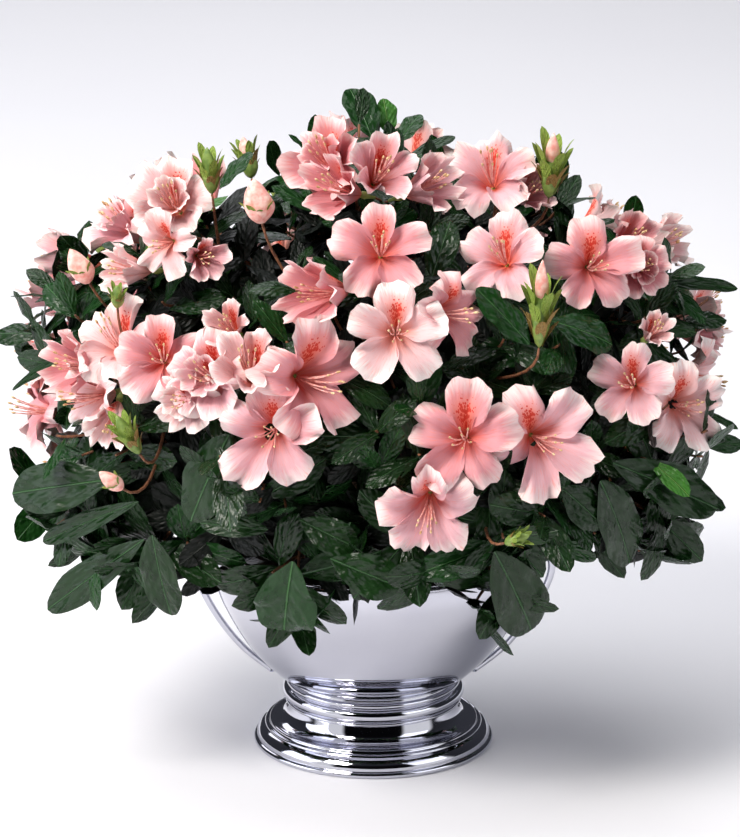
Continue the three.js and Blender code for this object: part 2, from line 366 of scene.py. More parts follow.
@dataclass(frozen=True)
class Finish:
    """A material by name, and the shader that a kind of finish gives it."""

    name: str

    def make(self) -> bpy.types.Material:
        """Builds the material."""
        material = bpy.data.materials.new(self.name)
        material.use_nodes = True
        tree = material.node_tree
        tree.nodes.clear()
        put(tree, "OutputMaterial", self.shade(tree))
        return material

    def shade(self, tree: bpy.types.NodeTree) -> bpy.types.Node:
        """Adds the nodes of the finish and returns its shader.

        Args:
            tree: Node tree of the material.

        Returns:
            The shader.
        """
        raise NotImplementedError


@dataclass(frozen=True)
class NickelSilver(Finish):
    """Nickel silver, spun and mirror-polished: clear reflections, faintly blurred by wiping.

    Attributes:
        tone: Colour of the metal.
        wiped: Colour where the polish is a little duller.
        roughness: Least roughness.
        wipe_mm: Width of a wiped patch.
    """

    tone: str = "#c9cad3"
    wiped: str = "#bfc0cb"
    roughness: float = 0.03
    wipe_mm: float = 30.0

    def shade(self, tree: bpy.types.NodeTree) -> bpy.types.Node:
        """Patches of polish set the tone and the blur.

        Args:
            tree: Node tree of the material.

        Returns:
            The shader.
        """
        place = put(tree, "TexCoord").outputs["Object"]
        patch = put(tree, "TexNoise", Vector=place, Scale=1 / (self.wipe_mm * MM), Detail=3.0)
        tone = put(tree, "Mix", patch, self.tone, self.wiped, data_type="RGBA")
        blur = put(tree, "Math MULTIPLY_ADD", patch, 0.06, self.roughness)
        return put(tree, "BsdfPrincipled", Base_Color=tone, Metallic=1.0, Roughness=blur)


@dataclass(frozen=True)
class Crumbs(Finish):
    """Peat compost: loose near-black crumbs with paler fibres, dull all over.

    Attributes:
        crumb_mm: Width of a crumb.
    """

    crumb_mm: float = 3.0

    def shade(self, tree: bpy.types.NodeTree) -> bpy.types.Node:
        """A fine noise sets the tone and the relief.

        Args:
            tree: Node tree of the material.

        Returns:
            The shader.
        """
        place = put(tree, "TexCoord").outputs["Object"]
        crumb = put(tree, "TexNoise", Vector=place, Scale=1 / (self.crumb_mm * MM), Detail=6.0)
        stops = ((0.3, "#0d0906"), (0.55, "#241912"), (0.75, "#4a3524"))
        tone = put(tree, "ValToRGB", crumb, stops=stops)
        relief = put(tree, "Bump", Height=crumb, Strength=0.9, Distance=2 * MM)
        return put(tree, "BsdfPrincipled", Base_Color=tone, Roughness=0.95, Normal=relief)


@dataclass(frozen=True)
class Bark(Finish):
    """Azalea bark: thin flakes drawn out up the limb, grey-brown when old and red-brown when young.

    Attributes:
        dark: Colour between the flakes.
        light: Colour of the flakes.
        flake_mm: Width of a flake.
        roughness: Roughness.
    """

    dark: str = "#2c1d15"
    light: str = "#6f5442"
    flake_mm: float = 2.5
    roughness: float = 0.8

    def shade(self, tree: bpy.types.NodeTree) -> bpy.types.Node:
        """A noise stretched four times in height sets the tone and the relief.

        Args:
            tree: Node tree of the material.

        Returns:
            The shader.
        """
        place = put(tree, "TexCoord").outputs["Object"]
        drawn = put(tree, "Mapping", Vector=place, Scale=(1.0, 1.0, 0.25))
        flake = put(tree, "TexNoise", Vector=drawn, Scale=1 / (self.flake_mm * MM), Detail=5.0)
        tone = put(tree, "ValToRGB", flake, stops=((0.35, self.dark), (0.65, self.light)))
        relief = put(tree, "Bump", Height=flake, Strength=0.7, Distance=MM)
        return put(tree, "BsdfPrincipled", Base_Color=tone, Roughness=self.roughness, Normal=relief)


@dataclass(frozen=True)
class Tissue(Finish):
    """Stamens, buds and bud scales: smooth matt plant skin with a little mottling.

    Attributes:
        dark: Darker colour of the mottling.
        light: Lighter colour.
        fleck_mm: Width of a fleck.
        roughness: Roughness.
    """

    dark: str = "#d77f74"
    light: str = "#f5c4ba"
    fleck_mm: float = 4.0
    roughness: float = 0.5

    def shade(self, tree: bpy.types.NodeTree) -> bpy.types.Node:
        """A soft noise sets the tone.

        Args:
            tree: Node tree of the material.

        Returns:
            The shader.
        """
        place = put(tree, "TexCoord").outputs["Object"]
        fleck = put(tree, "TexNoise", Vector=place, Scale=1 / (self.fleck_mm * MM), Detail=3.0)
        tone = put(tree, "ValToRGB", fleck, stops=((0.35, self.dark), (0.65, self.light)))
        return put(tree, "BsdfPrincipled", Base_Color=tone, Roughness=self.roughness)


@dataclass(frozen=True)
class Cell:
    """The UV square split two by two, so that each tint of a piece has a cell of its own.

    All blades of one tint lie on each other in their cell. Pattern places run from -1 to 1 in it.

    Attributes:
        across: Cells in a row.
        fill: Half width of the pattern, as a share of the cell.
    """

    across: int = 2
    fill: float = 0.46

    def uv(self, u: Array, v: Array, tint: Array) -> Array:
        """UVs of pattern places.

        Args:
            u: Pattern place across, (n or 1, rows, cols).
            v: Pattern place up, (n or 1, rows, cols).
            tint: Cell number of each copy, (n,).

        Returns:
            UVs (n, rows, cols, 2).
        """
        corner = np.stack([tint % self.across, tint // self.across], -1)[:, None, None, :]
        return (np.stack(np.broadcast_arrays(u, v), -1) * self.fill + 0.5 + corner) / self.across

    def places(self, tree: bpy.types.NodeTree) -> list[bpy.types.Node]:
        """Nodes that find the pattern place of a point in its cell.

        Args:
            tree: Node tree of the material.

        Returns:
            Both places as a vector, the place across and the place up.
        """
        uv = put(tree, "UVMap", uv_map=UV_NAME)
        grown = put(tree, "VectorMath SCALE", Vector=uv, Scale=float(self.across))
        within = put(tree, "VectorMath FRACTION", grown)
        middle = put(tree, "VectorMath SUBTRACT", within, (0.5, 0.5, 0.0))
        both = put(tree, "VectorMath SCALE", Vector=middle, Scale=1 / self.fill)
        parts = put(tree, "SeparateXYZ", both)
        return [both, parts.outputs[0], parts.outputs[1]]


CELL = Cell()


@dataclass(frozen=True)
class LeafBlade(Finish):
    """Evergreen leaf: waxy leather over sunken veins, so its broad soft shine is broken up.

    Attributes:
        blade: Colour between the veins.
        worn: Second colour of the blade's mottling.
        vein: Colour of the veins.
        roughness: Roughness of the wax.
        veins: Steps of side veins from base to tip.
        slant: How far a side vein runs forward to the margin, in lengths of the leaf.
    """

    blade: str = "#0a1c08"
    worn: str = "#163612"
    vein: str = "#3a5c38"
    roughness: float = 0.29
    veins: float = 6.0
    slant: float = 0.42

    def shade(self, tree: bpy.types.NodeTree) -> bpy.types.Node:
        """A vein is where the place along, less a share of the place across, passes a whole step.

        Args:
            tree: Node tree of the material.

        Returns:
            The shader.
        """
        both, across, along = CELL.places(tree)
        side = put(tree, "Math ABSOLUTE", across)
        step = put(tree, "Math MULTIPLY", along, self.veins / 2)
        count = put(tree, "Math MULTIPLY_ADD", side, -self.veins * self.slant, step)
        swell = put(tree, "Math PINGPONG", count, 0.5)
        groove = put(tree, "MapRange", swell, 0.0, 0.09, 1.0, 0.0, interpolation_type="SMOOTHSTEP")
        rib = put(tree, "MapRange", side, 0.01, 0.055, 1.0, 0.0, interpolation_type="SMOOTHSTEP")
        lines = put(tree, "Math MAXIMUM", put(tree, "Math MULTIPLY", groove, 0.06), rib)
        net = put(tree, "TexVoronoi", Vector=both, Scale=3.4, feature="SMOOTH_F1")
        mottle = put(tree, "TexNoise", Vector=both, Scale=2.2, Detail=3.0)
        ground = put(tree, "Mix", mottle, self.blade, self.worn, data_type="RGBA")
        tone = put(tree, "Mix", lines, ground, self.vein, data_type="RGBA")
        puff = put(tree, "MapRange", swell, 0.0, 0.5, 0.0, 1.0, interpolation_type="SMOOTHSTEP")
        height = put(tree, "Math MULTIPLY_ADD", puff, 0.2, put(tree, "Math MULTIPLY", net, -1.0))
        height = put(tree, "Math MULTIPLY_ADD", mottle, 1.2, put(tree, "Math SUBTRACT", height, rib))
        relief = put(tree, "Bump", Height=height, Strength=0.7, Distance=2.2 * MM)
        wax = put(tree, "Math MULTIPLY_ADD", mottle, 0.24, self.roughness - 0.12)
        return put(tree, "BsdfPrincipled", Base_Color=tone, Roughness=wax, Normal=relief,
                   Specular_IOR_Level=0.3)


@dataclass(frozen=True)
class Petal(Finish):
    """Azalea petal: thin dull skin, coral in the throat, paler to a nearly white frill.

    Attributes:
        throat: Colour deep in the flower.
        blade: Colour of the lobes.
        frill: Colour of the margin.
        wash: Colour that spreads up from the throat under the spots.
        blotch: Colour of the spots that fan over the upper lobe.
    """

    throat: str = "#ea765c"
    blade: str = "#e1afb6"
    frill: str = "#f1dbd8"
    wash: str = "#ee7c60"
    blotch: str = "#cf2c1c"

    def shade(self, tree: bpy.types.NodeTree) -> bpy.types.Node:
        """The flower is a disc in its cell: rings for the tone, spokes for veins, a fan of spots.

        Args:
            tree: Node tree of the material.

        Returns:
            The shader.
        """
        both, u, v = CELL.places(tree)
        radius = put(tree, "VectorMath LENGTH", both)
        angle = put(tree, "Math ARCTAN2", u, v)
        spoke = put(tree, "CombineXYZ", put(tree, "Math MULTIPLY", angle, 9.0), radius)
        streak = put(tree, "TexNoise", Vector=spoke, Scale=1.6, Detail=4.0)
        ring = put(tree, "Math MULTIPLY_ADD", streak, 0.4, put(tree, "Math SUBTRACT", radius, 0.2))
        stops = ((0.06, self.throat), (0.42, self.blade), (0.7, self.blade), (0.95, self.frill))
        ground = put(tree, "ValToRGB", ring, stops=stops)
        hem = put(tree, "MapRange", radius, 0.9, 0.98, 0.0, 0.35)
        ground = put(tree, "Mix", hem, ground, self.frill, data_type="RGBA")
        turned = put(tree, "Math ABSOLUTE", angle)
        fan = put(tree, "MapRange", turned, 0.1, 0.62, 1.0, 0.0)
        rise = put(tree, "MapRange", radius, 0.06, 0.16, 0.0, 1.0)
        fall = put(tree, "MapRange", radius, 0.45, 0.82, 1.0, 0.0)
        fan = put(tree, "Math MULTIPLY", put(tree, "Math MULTIPLY", fan, rise), fall)
        dash = put(tree, "CombineXYZ", put(tree, "Math MULTIPLY", angle, 15.0),
                   put(tree, "Math MULTIPLY", radius, 17.0))
        dots = put(tree, "TexVoronoi", Vector=dash, Scale=1.0).outputs["Distance"]
        spot = put(tree, "Math SUBTRACT", put(tree, "Math MULTIPLY", fan, 0.72), dots)
        spot = put(tree, "MapRange", spot, 0.0, 0.12, 0.0, 0.9)
        wash = put(tree, "Math MULTIPLY", fan, 0.9)
        ground = put(tree, "Mix", wash, ground, self.wash, data_type="RGBA")
        tone = put(tree, "Mix", spot, ground, self.blotch, data_type="RGBA")
        fine = put(tree, "TexNoise", Vector=spoke, Scale=4.5, Detail=2.0)
        line = put(tree, "MapRange", fine, 0.56, 0.66, 0.0, 0.35)
        tone = put(tree, "Mix", line, tone, self.wash, data_type="RGBA")
        relief = put(tree, "Bump", Height=streak, Strength=0.5, Distance=1.2 * MM)
        return put(tree, "BsdfPrincipled", Base_Color=tone, Roughness=0.6, Normal=relief,
                   Specular_IOR_Level=0.3)


@dataclass(frozen=True)
class PaintedBoard(Finish):
    """Matt white paint rolled on board: an even pale grey-lilac with hardly any mottling.

    Attributes:
        light: Lighter colour.
        dark: Darker colour.
        patch_mm: Width of a patch of either.
    """

    light: str = "#f2f2f5"
    dark: str = "#eeeef2"
    patch_mm: float = 400.0

    def shade(self, tree: bpy.types.NodeTree) -> bpy.types.Node:
        """A very weak noise sets the tone.

        Args:
            tree: Node tree of the material.

        Returns:
            The shader.
        """
        place = put(tree, "TexCoord").outputs["Object"]
        patch = put(tree, "TexNoise", Vector=place, Scale=1 / (self.patch_mm * MM))
        tone = put(tree, "Mix", patch, self.light, self.dark, data_type="RGBA")
        return put(tree, "BsdfPrincipled", Base_Color=tone, Roughness=0.7, Specular_IOR_Level=0.2)


# ------------------------------------------------------------------ the bowl
@dataclass
class FootedBowl:
    """Round-bellied bowl on a moulded neck and a dished foot, with a flat strap handle each side.

    Sizes are in millimetres. A profile is a line of (radius, height) points from the axis, round
    the outside and back to the axis; beads and lips in it are arcs.

    Attributes:
        metal: Finish.
        rim_radius: Outer radius of the rim.
        rim_top: Height of the rim.
        wall: Thickness of the metal.
        inner_floor: Height of the floor inside.
        belly: Outside of the belly, from its foot to under the rim.
        foot_radius: Radius of the foot.
        lip: Radius of the foot's lowest bead.
        strap: Middle line of the right handle, from its upper end down.
        strap_thick: Thickness of the handle.
        strap_wide: Width of the handle.
        strap_taper: Share of its size that the handle loses on the way down.
        strap_bulge: Power that rounds the handle's section.
        strap_sides: Sides of that section.
    """

    metal: bpy.types.Material
    rim_radius: float = 122.0
    rim_top: float = 156.5
    wall: float = 2.4
    inner_floor: float = 58.0
    belly: tuple = ((61, 52), (70.5, 55.5), (92, 78), (110.5, 110), (118.3, 134), (120, 150.6))
    foot_radius: float = 86.0
    lip: float = 2.3
    strap: tuple = (
        (115, 142), (124.5, 144.5), (129.5, 135), (126, 119), (113, 94), (95, 70.5), (72, 51))
    strap_thick: float = 6.4
    strap_wide: float = 11.0
    strap_taper: float = 0.45
    strap_bulge: float = 0.6
    strap_sides: int = 24

    def turned(self, name: str, lines: list, node: str) -> None:
        """Turns a profile into a closed piece.

        Args:
            name: Name of the piece.
            lines: Stretches of the profile in mm: single points, arcs and curves.
            node: CAD node that the piece stands for.
        """
        profile = np.concatenate([np.atleast_2d(np.array(line, float)) for line in lines]) * MM
        turned = Sheet(lathe(profile), wrap=True)
        build(name, [turned], [self.metal], [node], weld=True)

    def body(self) -> None:
        """Belly, groove and rolled rim outside; an even wall inside, down to the bowl's floor."""
        half_band = 2.1
        band = arc((self.rim_radius - half_band, self.rim_top - half_band - 1.6), half_band, -80, 80)
        lip = arc((self.rim_radius - 2.2, self.rim_top - 0.9), 0.9, -60, 180)
        inside = np.array(self.belly[::-1], float) - [self.wall, 0]
        inside[:, 1] = np.maximum(inside[:, 1], self.inner_floor)
        lines = [(0, self.belly[0][1]), flowing(self.belly, 14), band, lip, flowing(inside[:4], 6)]
        self.turned("bowl_body", lines + [(60, self.inner_floor), (0, self.inner_floor)], "bowl")

    def neck(self) -> None:
        """From below: a flange, a big round bead, a small bead and a plain collar."""
        lines = [(0, 31.3), (61.5, 31.3), arc((63.0, 32.6), 1.3, -80, 85), (62.2, 34.2)]
        lines += [arc((61.3, 38.9), 5.1, -62, 62, 18), (62.3, 44.4), arc((61.6, 46.3), 1.9, -75, 75)]
        lines += [(61.2, 48.5), (61.0, 49.2), (61.0, 51.7), (0, 51.7)]
        self.turned("bowl_neck", lines, "neck")

    def foot(self) -> None:
        """From below: an upright lip, a round shoulder, two fine ridges and a dish up to the neck."""
        r = self.foot_radius
        lines = [(0, 0), (r - 0.8, 0), arc((r - 0.9, self.lip), self.lip, -80, 80), (r - 1.2, 4.9)]
        lines += [flowing([(85.3, 5.6), (84.6, 8.6), (82.2, 11.8), (79.2, 13.7)], 8)]
        lines += [arc((78.0, 14.0), 1.1, 0, 130, 8), (76.4, 14.9), arc((74.6, 16.2), 1.3, 0, 120, 8)]
        dish = [(73.0, 17.5), (69.5, 18.1), (66.0, 19.9), (62.8, 23.6), (60.6, 31.0)]
        lines += [flowing(dish, 9), (0, 31.0)]
        self.turned("bowl_foot", lines, "foot")

    def handles(self) -> None:
        """A strap carried along the route, tapering to its foot; the left mirrors the right.

        Its section is a rounded rectangle: powers of the cosine and sine, so sides bulge a little.
        """
        route = flowing(self.strap, 12) * MM
        along = unit(np.gradient(route, axis=0))
        out = np.stack([along[:, 1], -along[:, 0]], -1)
        share = np.linspace(0, 1, len(route))
        size = 1 - self.strap_taper * share ** 1.5
        size[[0, -1]] = 0
        a = np.arange(self.strap_sides) / self.strap_sides * TAU
        bulge = self.strap_bulge
        thick = np.sign(np.cos(a)) * np.abs(np.cos(a)) ** bulge * self.strap_thick / 2 * MM
        wide = np.sign(np.sin(a)) * np.abs(np.sin(a)) ** bulge * self.strap_wide / 2 * MM
        x = route[:, :1] + out[:, :1] * thick * size[:, None]
        z = route[:, 1:] + out[:, 1:] * thick * size[:, None]
        grid = np.stack([x, np.broadcast_to(wide, x.shape) * size[:, None], z], -1)[None]
        for name, turn in (("handle_right", 1), ("handle_left", -1)):
            sheet = Sheet(grid * [turn, 1, 1], wrap=True)
            build("strap_" + name, [sheet], [self.metal], [name], weld=True)

    def compost(self, peat: bpy.types.Material, random: np.random.Generator) -> None:
        """Compost: a low mound whose height is roughened by crossing waves of random direction.

        Args:
            peat: Finish.
            random: Seeded generator.
        """
        low, high = corners("root_ball")
        reach = (high[0] - low[0]) / 2
        rings = np.concatenate([np.linspace(0, 1, 40), [1.0, 0.0]])[:, None]
        a = np.arange(96) / 96 * TAU
        x, y = reach * rings * np.cos(a), reach * rings * np.sin(a)
        rough = np.zeros(x.shape)
        for wavelength in (34, 21, 13, 8, 5):
            turn, phase = random.uniform(0, TAU, 2)
            swing = np.cos(turn) * x + np.sin(turn) * y
            rough += np.sin(swing / (wavelength * MM) * TAU + phase) * wavelength * 0.03 * MM
        z = high[2] - 2 * MM - 3 * MM * rings ** 2 + rough * (1 - rings ** 8)
        z[-2:] = high[2] - 9 * MM
        sheet = Sheet(np.stack([x, y, z], -1)[None], wrap=True)
        build("compost", [sheet], [peat], ["root_ball"], weld=True)


# ------------------------------------------------------------------ the plant
class Form(Enum):
    """How far a flower is open: lift of its lobes, and whether it has an inner ring of petals."""

    OPEN = (0.0, False)
    HALF_OPEN = (0.6, False)
    RUFFLED = (0.22, True)


class Tint(Enum):
    """Cell and material slot of each leaf colour."""

    DARK = 0
    MID = 1
    YOUNG = 2
    # Nearly black leaves inside the crown: painted shade of its hollow middle.
    SHADE = 3


@dataclass
class Dome:
    """The ellipsoid that the crown fills.

    Attributes:
        shares: Half widths as shares of the CAD box.
        middle: Height of the centre as a share of the box.
    """

    shares: tuple[float, float, float] = (0.4837, 0.472, 0.45)
    middle: float = 0.531

    def __post_init__(self) -> None:
        """Takes its size from the CAD box."""
        low, high = np.array(CAD_BOX)
        self.reach = (high - low) * self.shares
        self.centre = np.array([0, 0, (high - low)[2] * self.middle])

    def at(self, turn: Array, rise: Array, out: Array) -> Array:
        """Points in a direction from the centre, at a share of the dome's own reach."""
        return self.centre + self.reach * aim(turn, rise) * np.asarray(out)[..., None]

    def outward(self, points: Array) -> Array:
        """Direction square to the dome through each point."""
        return unit((points - self.centre) / self.reach ** 2)

    def met(self, across: Array, up: Array, out: Array) -> Array:
        """Points of the dome as an onlooker in front, a little above its middle, meets them.

        A place on the plane that faces the onlooker is carried along the line of sight to where
        that line enters a smaller or larger copy of the dome, or to where it passes nearest.

        Args:
            across: Distance to the right of the dome's middle, in mm.
            up: Distance above it, in mm.
            out: Size of the copy, as a share of the dome.

        Returns:
            The points.
        """
        sight = aim(0, VIEW_RISE)
        high = np.array([0, sight[2], -sight[1]])
        flat = np.asarray(across)[..., None] * MM * [1.0, 0, 0] + np.asarray(up)[..., None] * MM * high
        ray = unit(sight * VIEW_DISTANCE - flat)
        place, step = flat / self.reach, ray / self.reach
        square, mixed = np.sum(step ** 2, -1), np.sum(step * place, -1)
        rest = mixed ** 2 - square * (np.sum(place ** 2, -1) - np.asarray(out) ** 2)
        way = (np.sqrt(np.maximum(rest, 0)) - mixed) / square
        return self.centre + flat + ray * way[..., None]


@dataclass
class Seen:
    """A place on the dome met from the front: mm across and up from its middle, and how far out."""

    across: float
    up: float
    out: float = 1.0

    def on(self, dome: Dome) -> Array:
        """The point."""
        return dome.met(self.across, self.up, self.out)


@dataclass
class Round:
    """A place on the dome by its angles in degrees round and up from its middle, and how far out."""

    turn: float
    rise: float
    out: float

    def on(self, dome: Dome) -> Array:
        """The point."""
        return dome.at(self.turn, self.rise, self.out)


@dataclass
class Bloom:
    """A flower: its place on the dome, where it faces, its roll, its radius in mm and its form."""

    place: Seen | Round
    yaw: float
    pitch: float
    roll: float
    radius: float
    form: Form


@dataclass
class Blade:
    """A single big leaf: mm across and up to its base and tip, how far out, and its breadth in mm."""

    base: tuple[float, float]
    tip: tuple[float, float]
    out: float
    breadth: float
    tint: Tint


class Closed(Enum):
    """Kinds of bud: its flower colour shows over all of it, at its tip, or not yet."""

    PINK = 1.0
    TIPPED = 0.5
    GREEN = 0.0


@dataclass
class Bud:
    """A bud: place of its base on the dome, where it points, length and breadth in mm, and kind."""

    place: Seen | Round
    yaw: float
    pitch: float
    length: float
    breadth: float
    kind: Closed


# Flowers that show from the front, from the top of the crown down.
FRONT_BLOOMS = [
    Bloom(Seen(-35, 170), -30, 38, 0, 35, Form.RUFFLED),
    Bloom(Seen(5, 160, 1.02), 14, 34, 10, 34, Form.HALF_OPEN),
    Bloom(Seen(40, 150, 0.96), 55, 25, -10, 30, Form.HALF_OPEN),
    Bloom(Seen(84, 162), -8, 46, 0, 34, Form.OPEN),
    Bloom(Seen(112, 146, 0.96), 40, 30, 0, 25, Form.HALF_OPEN),
    Bloom(Seen(-145, 140), -14, 34, 0, 36, Form.RUFFLED),
    Bloom(Seen(-153, 107), -25, 4, 0, 26, Form.OPEN),
    Bloom(Seen(-178, 90, 0.98), -58, 10, 0, 28, Form.HALF_OPEN),
    Bloom(Seen(-122, 98, 0.96), 18, 8, 0, 23, Form.HALF_OPEN),
    Bloom(Seen(5, 105, 1.03), 0, 28, 0, 36, Form.OPEN),
    Bloom(Seen(-40, 72), -44, 6, 20, 38, Form.HALF_OPEN),
    Bloom(Seen(17, 43, 1.05), 2, 14, 0, 37, Form.OPEN),
    Bloom(Seen(60, 57, 1.01), 42, 6, 15, 32, Form.OPEN),
    Bloom(Seen(91, 101), -16, 34, 0, 32, Form.OPEN),
    Bloom(Seen(159, 92), 10, 16, 0, 36, Form.OPEN),
    Bloom(Seen(185, 110, 0.98), 38, 28, 0, 28, Form.HALF_OPEN),
    Bloom(Seen(208, 110, 0.96), 64, 20, 0, 29, Form.HALF_OPEN),
    Bloom(Seen(-188, 41), -32, 44, 0, 35, Form.OPEN),
    Bloom(Seen(-153, 26, 1.03), -4, 22, 0, 35, Form.OPEN),
    Bloom(Seen(-208, -3), -52, 0, 0, 35, Form.OPEN),
    Bloom(Seen(-188, -19), -14, -28, 0, 25, Form.HALF_OPEN),
    Bloom(Seen(-121, 13, 1.02), -22, 18, 0, 36, Form.RUFFLED),
    Bloom(Seen(-90, 20, 1.04), -8, 40, 20, 36, Form.HALF_OPEN),
    Bloom(Seen(-38, 8, 1.03), 32, 6, 0, 45, Form.OPEN),
    Bloom(Seen(-74, -30, 1.05), -6, 6, 0, 43, Form.OPEN),
    Bloom(Seen(184, 8, 1.01), -12, 18, 0, 33, Form.OPEN),
    Bloom(Seen(225, -9, 1.02), 20, 10, 0, 36, Form.OPEN),
    Bloom(Seen(202, 46, 0.98), 28, 38, 0, 19, Form.HALF_OPEN),
    Bloom(Seen(64, -33, 1.03), -6, 14, 0, 42, Form.OPEN),
    Bloom(Seen(124, -35, 1.03), 18, 6, -25, 41, Form.OPEN),
    Bloom(Seen(-26, 148), -40, 20, 0, 34, Form.HALF_OPEN),
    Bloom(Seen(-136, -4), -24, 2, 0, 29, Form.RUFFLED),
    Bloom(Seen(-214, 22), -50, 12, 0, 34, Form.HALF_OPEN),
    Bloom(Seen(192, 92), 16, 14, 0, 27, Form.RUFFLED),
    Bloom(Seen(-104, 48, 0.98), -20, 30, 0, 24, Form.HALF_OPEN),
    Bloom(Seen(39, -87, 1.03), -4, -14, 0, 39, Form.OPEN),
]

# Middles of the trusses round the back, as degrees round from the front and up.
BACK_TRUSSES = [
    (138, 28), (180, 42), (224, 28), (106, 12), (136, 4), (166, 18), (203, 14), (232, 4),
    (254, 10), (118, -10), (158, -2), (190, -6), (222, -14), (272, 34), (262, -8), (86, 12),
]

# Leaves that make the crown's outline or stand clear in front.
BIG_LEAVES = [
    Blade((-1, 185), (-14, 224), 0.84, 30, Tint.MID),
    Blade((11, 188), (9, 213), 0.85, 18, Tint.YOUNG),
    Blade((18, 182), (32, 210), 0.84, 17, Tint.MID),
    Blade((24, 171), (57, 194), 0.88, 11, Tint.DARK),
    Blade((-179, 113), (-212, 129), 0.89, 20, Tint.DARK),
    Blade((-166, 115), (-195, 135), 0.91, 21, Tint.YOUNG),
    Blade((-110, 149), (-90, 182), 0.86, 15, Tint.MID),
    Blade((-120, 148), (-151, 157), 0.93, 8, Tint.DARK),
    Blade((-97, 114), (-143, 106), 0.95, 10, Tint.DARK),
    Blade((-155, 59), (-122, 90), 0.91, 17, Tint.MID),
    Blade((-204, 74), (-249, 57), 0.93, 15, Tint.DARK),
    Blade((-205, 33), (-267, 29), 0.93, 9, Tint.DARK),
    Blade((-60, 96), (-40, 137), 0.9, 17, Tint.DARK),
    Blade((-53, 41), (-120, 59), 0.92, 35, Tint.DARK),
    Blade((42, 85), (55, 125), 0.88, 25, Tint.DARK),
    Blade((91, 125), (72, 146), 0.86, 17, Tint.YOUNG),
    Blade((112, 36), (78, 76), 0.95, 25, Tint.MID),
    Blade((127, 53), (176, 41), 0.95, 28, Tint.MID),
    Blade((196, 82), (260, 95), 0.93, 14, Tint.DARK),
    Blade((196, 87), (228, 96), 0.91, 10, Tint.MID),
    Blade((234, 11), (261, -25), 0.98, 27, Tint.DARK),
    Blade((172, -49), (246, -62), 0.95, 38, Tint.DARK),
    Blade((163, -62), (192, -123), 0.97, 39, Tint.DARK),
    Blade((135, -67), (168, -94), 0.95, 29, Tint.DARK),
    Blade((87, -113), (123, -177), 1.0, 45, Tint.DARK),
    Blade((117, -101), (166, -120), 0.95, 14, Tint.MID),
    Blade((-189, -61), (-258, -48), 0.97, 39, Tint.DARK),
    Blade((-169, -77), (-239, -84), 0.95, 18, Tint.DARK),
    Blade((-165, -104), (-233, -132), 0.97, 28, Tint.DARK),
    Blade((-159, -101), (-149, -161), 1.0, 32, Tint.DARK),
    Blade((-104, -29), (-135, -91), 0.95, 38, Tint.DARK),
    Blade((-76, -97), (-125, -93), 0.95, 17, Tint.DARK),
    Blade((-53, -90), (-14, -110), 0.9, 28, Tint.DARK),
    Blade((-58, -120), (-68, -178), 1.02, 50, Tint.MID),
    Blade((-31, -118), (18, -139), 1.0, 34, Tint.DARK),
    Blade((86, -108), (34, -130), 0.97, 28, Tint.MID),
]

# Buds in front, from the largest down, and then those round the back.
BUDS = [
    Bud(Seen(-80, 123), -30, 72, 36, 20, Closed.PINK),
    Bud(Seen(-204, 80), -70, 62, 30, 16, Closed.PINK),
    Bud(Seen(119, 33, 1.04), 10, 82, 66, 14, Closed.TIPPED),
    Bud(Seen(126, 141, 0.98), 20, 80, 50, 15, Closed.TIPPED),
    Bud(Seen(-116, 144, 0.98), -30, 80, 36, 12, Closed.GREEN),
    Bud(Seen(-180, -68, 1.08), -60, 40, 24, 11, Closed.PINK),
    Bud(Seen(-168, -43, 1.05), -60, 60, 36, 11, Closed.GREEN),
    Bud(Seen(94, -107, 1.08), 60, 25, 22, 9, Closed.GREEN),
    Bud(Seen(-184, 62), 0, 80, 18, 9, Closed.GREEN),
    Bud(Round(138, 40, 0.9), 130, 60, 30, 17, Closed.PINK),
    Bud(Round(196, 22, 0.96), 200, 60, 32, 14, Closed.TIPPED),
    Bud(Round(-124, 20, 0.96), -120, 55, 28, 12, Closed.GREEN),
    Bud(Round(-150, 40, 0.9), -150, 66, 32, 14, Closed.TIPPED),
    Bud(Round(118, 12, 0.98), 118, 50, 26, 13, Closed.PINK),
]


